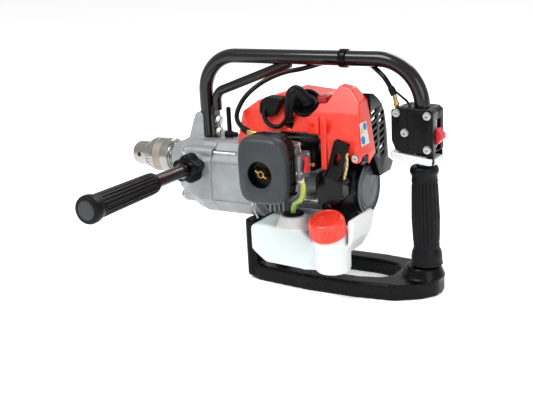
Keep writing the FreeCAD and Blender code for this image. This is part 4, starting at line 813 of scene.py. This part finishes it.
def make_cords():
    """The four cords that run from one part of the power head to another. Sizes in millimetres."""
    rear, after_rear, before_front, front = (CABLE_POINTS[i] for i in (0, 1, -2, -1))
    boots = [cable_boot("cable_boot_front", front, before_front - front),
             cable_boot("cable_boot_rear", rear, after_rear - rear)]
    for name, node, points, radius, length, slot, stiffness, lay, on_it in (
        ("throttle_cable_sleeve", "throttle_cable", CABLE_POINTS, 2.8, 273.4, "black_gloss",
         "stiff", "taut", boots),
        ("switch_lead", "switch_wire", WIRE_POINTS, 1.3, 33.7, "black_gloss", "limp", "taut", []),
        ("plug_lead", "ignition_lead", LEAD_POINTS, 2.5, 60.8, "black_rubber",
         "medium", "hanging", []),
        ("fuel_hose", "fuel_line", FUEL_POINTS, 3.2, 55.3, "line_plastic",
         "medium", "hanging", []),
    ):
        piece = put(curve_tube(name, points, radius), slot, HEAD, (node,))


# Recoil starter -------------------------------------------

PULL_WAY = Vector((0.33, -0.14, 0.93)).normalized()
GRIP_FOOT = mm(316.2, -53.0, -3.0)
EYELET = mm(329.2, -50.5, 1.0)
CRANK_Z = -19.4
PULLEY_X = 321.3      # the front of the rope's coil on the pulley
PULLEY_WIDE = 3.8


def make_starter_rope():
    """The coil on the pulley, and the run through the eyelet to the handle."""
    along = PULL_WAY * MM
    points = [mm(323.2, -19.0, -10.0), mm(325.5, -41.0, -12.5),
              EYELET - along * 7, EYELET + along * 4,
              GRIP_FOOT + Vector((13.2, 0.5, 3.0)) * MM + along * 28,
              GRIP_FOOT + Vector((8.0, 0.0, 1.0)) * MM + along * 38]
    rope = as_mesh(curve_tube("starter_rope_run", points, 1.5, 5, 24))
    profile = rounded_profile([(-2.6, 0.4), (-2.2, 2.6), (2.2, 2.9), (2.6, 0.4)], 1.2)
    knot = turned("rope_knot", profile, points[-1], PULL_WAY, 24)
    run = join("starter_rope_run", [rope, knot])
    run.data.materials.append(FINISH["rope_fibre"])
    shade(run, 60.0)
    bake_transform(run)
    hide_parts("starter_rope")
    turns = []
    for i in range(40):
        share = i / 39
        turns.append((PULLEY_WIDE * share, 18.6 + 0.9 * abs(math.sin(2 * math.pi * share))))
    coil = turned("starter_rope_coil", turns + [(PULLEY_WIDE, 17.0), (0.0, 17.0)],
                  mm(PULLEY_X, 0, CRANK_Z), X_AXIS, 96, hollow=True)
    put(coil, "rope_fibre", "pulley")


def make_starter_cover():
    """A matt grey disc on the starter housing, with a groove round it and a glossy black rim."""
    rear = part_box("starter_housing")[1].x
    base = Vector((rear - 0.4 * MM, 0, CRANK_Z * MM))
    face = rounded_profile([(0, 26.2), (0.9, 26.2), (1.7, 25.4), (1.7, 23.2), (1.0, 22.6),
                            (1.0, 22.0), (1.9, 21.2), (2.1, 12.0), (2.2, TIP)], 0.35)
    disc = turned("starter_disc", face, base, X_AXIS, 128)
    grey = moulded("starter_disc_grey", (62, 67, 72), (96, 101, 106), (0.38, 0.52), 0.03)
    put(disc, "cover_grey", material=grey)
    edge = rounded_profile([(0, 30.9), (0, 31.6), (1.0, 31.9), (1.8, 31.2), (1.8, 27.4),
                            (1.0, 27.0), (0.2, 27.0)], 0.4)
    put(turned("starter_rim", edge, base, X_AXIS, 128, hollow=True), "black_gloss")


# Air cleaner ----------------------------------------------

CLEANER = (259.5, 21.0)       # the middle of the cover's outline, X and Z
CLEANER_HALF = (29.5, 38.0)
STUD_Z = 17.4
RECESS_R = 15.0
FRONT_Y = -114.9              # where the face meets the recess's lip


def cleaner_reach(count):
    """The distance from the stud to the cleaner's rounded outline, all the way round."""
    out = []
    for i in range(count):
        angle = 2 * math.pi * i / count
        low, high = 0.0, 80.0
        for _ in range(30):
            middle = (low + high) / 2
            x = middle * math.cos(angle) / CLEANER_HALF[0]
            z = (STUD_Z - CLEANER[1] + middle * math.sin(angle)) / CLEANER_HALF[1]
            low, high = (middle, high) if x ** 4 + z ** 4 < 1 else (low, middle)
        out.append(low)
    return out


def band_round_stud(name, profile, count=240):
    """A closed band round the stud. profile lists (share of the outline, millimetres more, Y)."""
    reach = cleaner_reach(count)
    verts, faces = [], []
    for share, extra, y in profile:
        for i in range(count):
            angle = 2 * math.pi * i / count
            size = reach[i] * share + extra
            verts.append(mm(CLEANER[0] + size * math.cos(angle), y,
                            STUD_Z + size * math.sin(angle)))
    for row in range(len(profile)):
        a, b = row * count, (row + 1) % len(profile) * count
        faces += [(a + i, a + (i + 1) % count, b + (i + 1) % count, b + i) for i in range(count)]
    return new_object(name, verts, faces)


def make_air_cleaner():
    """Pillow-shaped cover with a deep black recess for the nut, over a ribbed black tray."""
    corner = 9.0
    lip = RECESS_R + 0.9
    profile = [(0, 3.0, -101.3), (0, 3.0, -103.6), (0, 14.2, -103.6), (0, RECESS_R, -104.4),
               (0, RECESS_R, -113.7), (0, RECESS_R + 0.3, -114.5)]
    for i in range(13):
        t = i / 12
        crown = 1.1 * math.sin(math.pi * t)
        profile.append((t, lip * (1 - t) - corner * t, FRONT_Y - crown))
    for i in range(1, 9):
        turn = math.pi / 2 * i / 8
        profile.append((1, corner * (math.sin(turn) - 1), FRONT_Y + corner * (1 - math.cos(turn))))
    profile += [(1, 0, -99.7), (1, -0.5, -99.1), (1, -2.0, -99.1), (1, -2.5, -99.6),
                (1, -2.5, -106), (1, -8.5, -112.2), (0, 17.2, -112.2), (0, 17.2, -101.3)]
    cover = band_round_stud("air_cleaner_shell", profile)
    put(cover, "cover_grey", HEAD, ("air_cleaner_cover",), sharp=50.0)
    lining = band_round_stud("cleaner_recess_lining", [
        (0, 14.2, -103.5), (0, 14.8, -104.4), (0, 14.9, -112.6), (0, 14.5, -112.6),
        (0, 14.2, -104.8), (0, 3.2, -104.1), (0, 3.2, -103.5)])
    put(lining, "black_plastic", sharp=50.0)
    for index, (y, out) in enumerate(((-98.2, 0.3), (-95.0, -0.2), (-91.6, 0.2), (-86.4, 0.4))):
        rim = band_round_stud("cleaner_rim_%d" % index, [
            (1, -2.2, y - 0.8), (1, out - 0.5, y - 0.8), (1, out, y - 0.4), (1, out, y + 0.4),
            (1, out - 0.5, y + 0.8), (1, -2.2, y + 0.8)])
        put(rim, "black_gloss", sharp=50.0)
    ribs = [bevelled_block("rib", mm(287.6, -98.5, z - 1.4), mm(290.3, -86.0, z + 1.4), 0.5)
            for z in (44.0, 33.0, 4.0, -7.0)]
    put(join("cleaner_side_ribs", ribs), "black_gloss")


# Ignition -------------------------------------------------

PLUG_WAY = Vector((0.28, -0.72, 0.64)).normalized()
PLUG_SEAT = mm(270.0, -14.0, 66.5)


def make_plug_cap():
    """Dished round shield with a thick rim, and a curved elbow that runs down to the lead."""
    shield_at = PLUG_SEAT + PLUG_WAY * 20.5 * MM
    dish = rounded_profile([(0, TIP), (0, 14.0), (1.0, 16.6), (5.0, 17.4), (7.6, 16.6),
                            (8.0, 15.4), (7.2, 14.2), (4.4, 12.6), (3.8, 10.5), (3.6, TIP)], 0.8)
    shield = turned("plug_shield", dish, shield_at, PLUG_WAY, 96)
    dome = rounded_profile([(-6, TIP), (-6, 8.0), (2, 8.6), (8, 8.6), (12, 7.6), (14.5, 4.5),
                            (15.2, TIP)], 1.2)
    hood = turned("plug_hood", dome, shield_at, PLUG_WAY, 64)
    tip = shield_at + PLUG_WAY * 10 * MM
    points = [mm(261.6, -47.6, 67.0), mm(262.4, -47.8, 72.0), mm(264.0, -48.4, 80.0),
              mm(266.0, -48.6, 89.0), mm(268.5, -47.6, 96.5), mm(273.0, -43.5, 98.2), tip]
    curve = curve_tube("plug_elbow", points, 6.4, 10)
    for point, share in zip(curve.data.splines[0].points, (0.72, 0.78, 0.92, 1.06, 1.16, 1.2, 1.1)):
        point.radius = share
    cap = join("plug_cap_shape", [shield, hood, as_mesh(curve)])
    recalculate(cap)
    soften_by_voxels(cap, 0.55, 3)
    put(cap, "black_rubber", HEAD, ("plug_cap",), sharp=180.0)


# Carburettor ----------------------------------------------

def helix(name, base, way, radius, pitch, turns, wire):
    """A coil spring. Sizes in millimetres."""
    first, second = frame_of(way)
    points = []
    for i in range(int(turns * 12) + 1):
        angle = 2 * math.pi * i / 12
        outward = first * math.cos(angle) + second * math.sin(angle)
        points.append(base + (outward * radius + way * (pitch * i / 12)) * MM)
    return as_mesh(curve_tube(name, points, wire, 3, 2))


def make_carburettor_details():
    """Screws, springs, a link and fittings on the side that shows beside the air cleaner."""
    screws = [cross_screw("carburettor_screw", place, way, radius) for place, way, radius in (
        (mm(292.0, -60.0, 13.5), X_AXIS, 2.4), (mm(292.0, -77.5, 13.5), X_AXIS, 2.4),
        (mm(292.0, -60.0, 30.5), X_AXIS, 2.2), (mm(286.5, -82.0, 14.0), -Y_AXIS, 2.4),
        (mm(274.0, -68.0, 44.0), Z_AXIS, 4.2), (mm(268.0, -78.0, 34.0), Z_AXIS, 2.2),
    )]
    put(join("carburettor_screws", screws), "bright_steel")
    arm = bevelled_block("arm", mm(276, -79.0, 44.2), mm(291.5, -72.0, 45.6), 0.4)
    link = as_mesh(curve_tube("link", [
        mm(289.5, -75.5, 46.5), mm(290, -75.5, 41), mm(291, -76.5, 38.5), mm(292.5, -78.0, 37.0),
    ], 0.8))
    pin = turned("pin", [(0, 1.7), (2.2, 1.7), (2.6, 1.2), (2.6, TIP)],
                 mm(289.0, -75.5, 45.2), Z_AXIS, 24)
    put(join("throttle_link", [arm, link, pin]), "bright_steel")
    profile = rounded_profile([(0, 1.1), (7.5, 1.1), (7.5, 2.2), (10.5, 2.2), (10.5, TIP)], 0.3)
    needle = turned("needle", profile, mm(291.5, -66.0, 21.0), X_AXIS, 32)
    spring = helix("spring", mm(292.2, -66.0, 21.0), X_AXIS, 1.9, 1.0, 6, 0.35)
    put(join("idle_screw", [needle, spring]), "brass_fitting")
    nut = turned("fuel_ferrule", [(0, 3.3), (0, 4.4), (5.5, 4.4), (6.0, 3.3)],
                 mm(288.0, -70.0, 1.0), Z_AXIS, 6, hollow=True)
    put(nut, "bright_steel")
    put(helix("return_spring", mm(262.5, -69.0, 43.2), -Y_AXIS, 2.0, 0.9, 8, 0.4), "bright_steel")


# Covers and boxes -----------------------------------------

PATCH_X = 360.0       # a plane behind the cover, from which the patch is cast forwards onto it


def speckled(name, colour, other, scale):
    """Printed paper or film, varied a little."""
    return Finish(name, colour, roughness=0.4).mottle(other, scale, 0.4).material


def make_warning_patch(cover):
    """A pale sticker with two blue discs and a yellow triangle, and no text."""
    corners = [mm(PATCH_X, *place) for place in
               ((-41.5, 64.5), (-25.0, 64.5), (-25.0, 40.0), (-45.5, 40.0))]
    patch = decal("warning_patch", corners, cover, -X_AXIS)
    put(patch, "cover_red", material=speckled("patch_white", (226, 230, 232), (212, 217, 220), 60))
    blue = speckled("patch_blue", (38, 124, 178), (70, 150, 198), 200)
    yellow = speckled("patch_yellow", (218, 190, 40), (236, 214, 96), 200)
    for name, paint, y, z, sides, size in (("patch_dot_low", blue, -39.5, 45.8, 32, 4.6),
                                           ("patch_dot_high", blue, -30.5, 59.5, 32, 4.0),
                                           ("patch_sign", yellow, -38.5, 55.5, 3, 4.4)):
        angles = [2 * math.pi * i / sides for i in range(sides)]
        outline = [mm(PATCH_X, y + size * math.sin(a), z + size * math.cos(a)) for a in angles]
        spot = new_object(name, cast_onto(cover, outline, -X_AXIS, 0.6), [tuple(range(sides))])
        thicken(spot, 0.15)
        put(spot, "cover_red", material=paint)


def make_cover_details(cover):
    """A boss with a hole on the engine's cover, and a dark red block where its scoop is: painted shade that stands
    in for the scoop's recess.
    """
    boss = bevelled_block("boss", mm(287.5, -52.3, 52.0), mm(301.0, -46.0, 71.5), 1.4)
    carve(boss, turned("hole", [(-1.0, 2.1), (3.0, 2.1)], mm(294.0, -52.6, 62.0), Y_AXIS, 32))
    put(boss, "cover_red", material=cover.data.materials[0])
    # painted shade: a darker red block stands in for the shade inside the scoop's recess
    scoop = bevelled_block("cover_scoop_painted_shade", mm(292.5, -37.0, 84.0), mm(303.5, -18.0, 91.5), 2.0)
    shadow = moulded("scoop_painted_shade", (150, 20, 22), (178, 40, 38), (0.3, 0.42), 0.02)
    put(scoop, "cover_red", material=shadow)


BOX_SCREWS = ((379.0, 73.5), (414.5, 71.5), (388.5, 52.0), (414.5, 34.5))       # X and Z


def make_box_details(shell):
    """The near shell's seam, the strip behind the switch, the washers and the knob's ribs."""
    carve(shell, bevelled_block("groove", mm(392.0, -18.1, 26.0), mm(392.8, -16.9, 86.0), 0.1, 1))
    shade(shell)
    strip = bevelled_block("switch_strip", mm(416.4, -6.2, 33.0), mm(416.7, 6.2, 65.0), 0.1, 1)
    put(strip, "plate_grey")
    profile = rounded_profile([(-0.2, 2.0), (-0.2, 4.5), (0.5, 4.5), (0.5, 2.0)], 0.2)
    washers = [turned("washer", profile, mm(x, -17.5, z), -Y_AXIS, 40, hollow=True)
               for x, z in BOX_SCREWS]
    put(join("box_washers", washers), "bright_steel")
    ribs = [bevelled_block("rib", mm(426.4, -5.2, z - 0.3), mm(427.4, 5.2, z + 0.3), 0.2, 1)
            for z in (44.6, 46.2, 47.8, 49.4)]
    put(join("switch_ribs", ribs), "switch_red", "switch")


def make_tank_details():
    """A rubber collar round the tank's grommet, and a tie rod and a wire clip above the tank."""
    lip = rounded_profile([(0, 9.4), (0, 12.2), (1.4, 12.6), (2.6, 11.6), (2.8, 9.4)], 0.6)
    collar = turned("grommet_collar", lip, mm(268.0, -58.0, -41.4), Z_AXIS, 64, hollow=True)
    put(collar, "black_rubber")
    profile = rounded_profile([(0, TIP), (0, 4.0), (1.6, 5.4), (17.0, 5.4), (19.0, 4.2),
                               (19.6, TIP)], 1.4)
    rod = turned("crankcase_tie_rod", profile, mm(274.0, -38.0, -27.5), X_AXIS, 48)
    put(rod, "bright_steel")
    points = [mm(215.0, -60, -33), mm(217.5, -62.5, -36), mm(220, -63, -43), mm(224.0, -62.5, -49),
              mm(221.0, -60, -50.5), mm(218.0, -58.5, -44), mm(216.5, -57.5, -37),
              mm(218, -56.5, -33.5)]
    put(as_mesh(curve_tube("drain_clip", points, 0.9, 4)), "bright_steel")


def make_case_details():
    """Raised casting ribs along the near side of the gear case."""
    ribs = [bevelled_block("rib", mm(152.0, -45.0, z - 1.0), mm(206.0, -43.4, z + 1.0), 0.6)
            for z in (8.6, -40.6)]
    put(join("case_ribs", ribs), "case_alloy")


# Floor, light and camera ----------------------------------

CENTRE = Vector((0.2, 0, 0))
LAMPS = (             # name, place from the centre, width in metres, power in watts
    ("key_light", (-0.5, -1.2, 1.8), 1.1, 30), ("fill_light", (1.7, -1.1, 0.7), 1.2, 10),
    ("back_light", (0.2, 1.6, 1.5), 1.2, 20),
)
SURROUND_LIGHTS = 0.62        # the white surround's strength as a lamp
SURROUND_SHOWS = 1.0          # and as it is seen
FLOOR_HALF = 12.0
FLOOR_GLOW = 0.36


def make_stage():
    """A white floor that glows a little, so that it runs into the surround with no edge."""
    verts = [(x * FLOOR_HALF, y * FLOOR_HALF, cad_bounds[0][2])
             for x, y in ((-1, -1), (1, -1), (1, 1), (-1, 1))]
    floor = new_object("studio_floor", verts, [(0, 1, 2, 3)])
    f = Finish("studio_floor_paint", (250, 250, 250), roughness=0.8)
    f.mottle((247, 247, 247), 3, 0.3)
    f.set("Emission Color", WHITE)
    f.set("Emission Strength", FLOOR_GLOW)
    floor.data.materials.append(f.material)


def make_lights():
    """Three soft lamps, and a white surround that shows brighter than it lights."""
    for name, place, width, power in LAMPS:
        data = bpy.data.lights.new(name, "AREA")
        data.shape = "DISK"
        data.size = width
        data.energy = power
        light = in_scene(name, data)
        light.location = CENTRE + Vector(place)
        light.rotation_euler = (-Vector(place)).to_track_quat("-Z", "Y").to_euler()
    world = bpy.data.worlds.new("studio")
    bpy.context.scene.world = world
    world.use_nodes = True
    tree = world.node_tree
    background = tree.nodes["Background"]
    background.inputs["Color"].default_value = WHITE
    seen = tree.nodes.new("ShaderNodeLightPath")
    strength = tree.nodes.new("ShaderNodeMapRange")
    strength.inputs["To Min"].default_value = SURROUND_LIGHTS
    strength.inputs["To Max"].default_value = SURROUND_SHOWS
    tree.links.new(seen.outputs["Is Camera Ray"], strength.inputs["Value"])
    tree.links.new(strength.outputs["Result"], background.inputs["Strength"])
    bpy.context.scene.view_settings.view_transform = "Standard"


def make_camera():
    """The reference's viewpoint, rolled a little about its own line of sight."""
    azimuth, elevation, roll = (math.radians(a) for a in (30.98, 15.78, -3.15))
    target = Vector((0.19153, 0, -0.0471))
    distance = 1.201
    back = Vector((math.sin(azimuth) * math.cos(elevation),
                   -math.cos(azimuth) * math.cos(elevation), math.sin(elevation)))
    right = Vector((math.cos(azimuth), math.sin(azimuth), 0))
    up = back.cross(right)
    rolled_right = right * math.cos(roll) + up * math.sin(roll)
    rolled_up = up * math.cos(roll) - right * math.sin(roll)
    data = bpy.data.cameras.new("camera")
    data.lens = 66.2
    data.clip_start = 0.01
    camera = in_scene("camera", data)
    turn = Matrix((rolled_right, rolled_up, back)).transposed().to_4x4()
    camera.matrix_world = Matrix.Translation(target + back * distance) @ turn
    bpy.context.scene.camera = camera


# The object -----------------------------------------------

MELTED = (            # node, voxel in millimetres, steps of smoothing
    ("base_guard", 1.5, 12), ("fuel_tank", 1.1, 9), ("lead_boot", 0.6, 4),
    ("starter_grip", 0.45, 4), ("wing_nut", 0.3, 3), ("engine_cover", 0.8, 5),
    ("gear_case_front", 0.9, 7), ("gear_case_rear", 0.9, 7), ("brace_tube", 0.6, 6),
    ("switch_knob", 0.35, 4), ("throttle_lever", 0.6, 4), ("shift_lever", 0.35, 3),
)
CRISP = (             # node, bevel in millimetres
    ("muffler_guard", 0.7), ("switch_box_near", 0.9), ("switch_box_far", 0.9),
    ("air_cleaner_body", 0.4), ("starter_housing", 1.0), ("crankcase", 0.8), ("cylinder", 0.4),
    ("carburettor", 0.5), ("intake_insulator", 0.5), ("choke_lever", 0.3), ("chuck_body", 0.3),
    ("hex_bolts", 0.3), ("cable_clip", 0.4), ("tank_grommet", 0.4), ("muffler", 0.6),
    ("cable_fittings", 0.2), ("housing_screws", 0.2),
)


def make_object():
    """Every piece, and then the CAD nodes' own materials."""
    make_rear_grip()
    make_side_handle()
    make_lock_knob()
    make_chuck_sleeve()
    make_fuel_cap()
    make_cords()
    make_starter_rope()
    make_starter_cover()
    make_air_cleaner()
    make_plug_cap()
    make_carburettor_details()
    shapes = {}
    for node, voxel, steps in MELTED:
        shapes[node] = melted(node, voxel, steps)
    for node, width in CRISP:
        shapes[node] = crisp(node, width)
    make_cover_details(shapes["engine_cover"])
    make_warning_patch(shapes["engine_cover"])
    make_box_details(shapes["switch_box_near"])
    make_tank_details()
    make_case_details()
    for node, obj in NODES.items():
        obj.data.materials.clear()
        obj.data.materials.append(FINISH[slot_of(node)])


make_object()
make_stage()
make_lights()
make_camera()
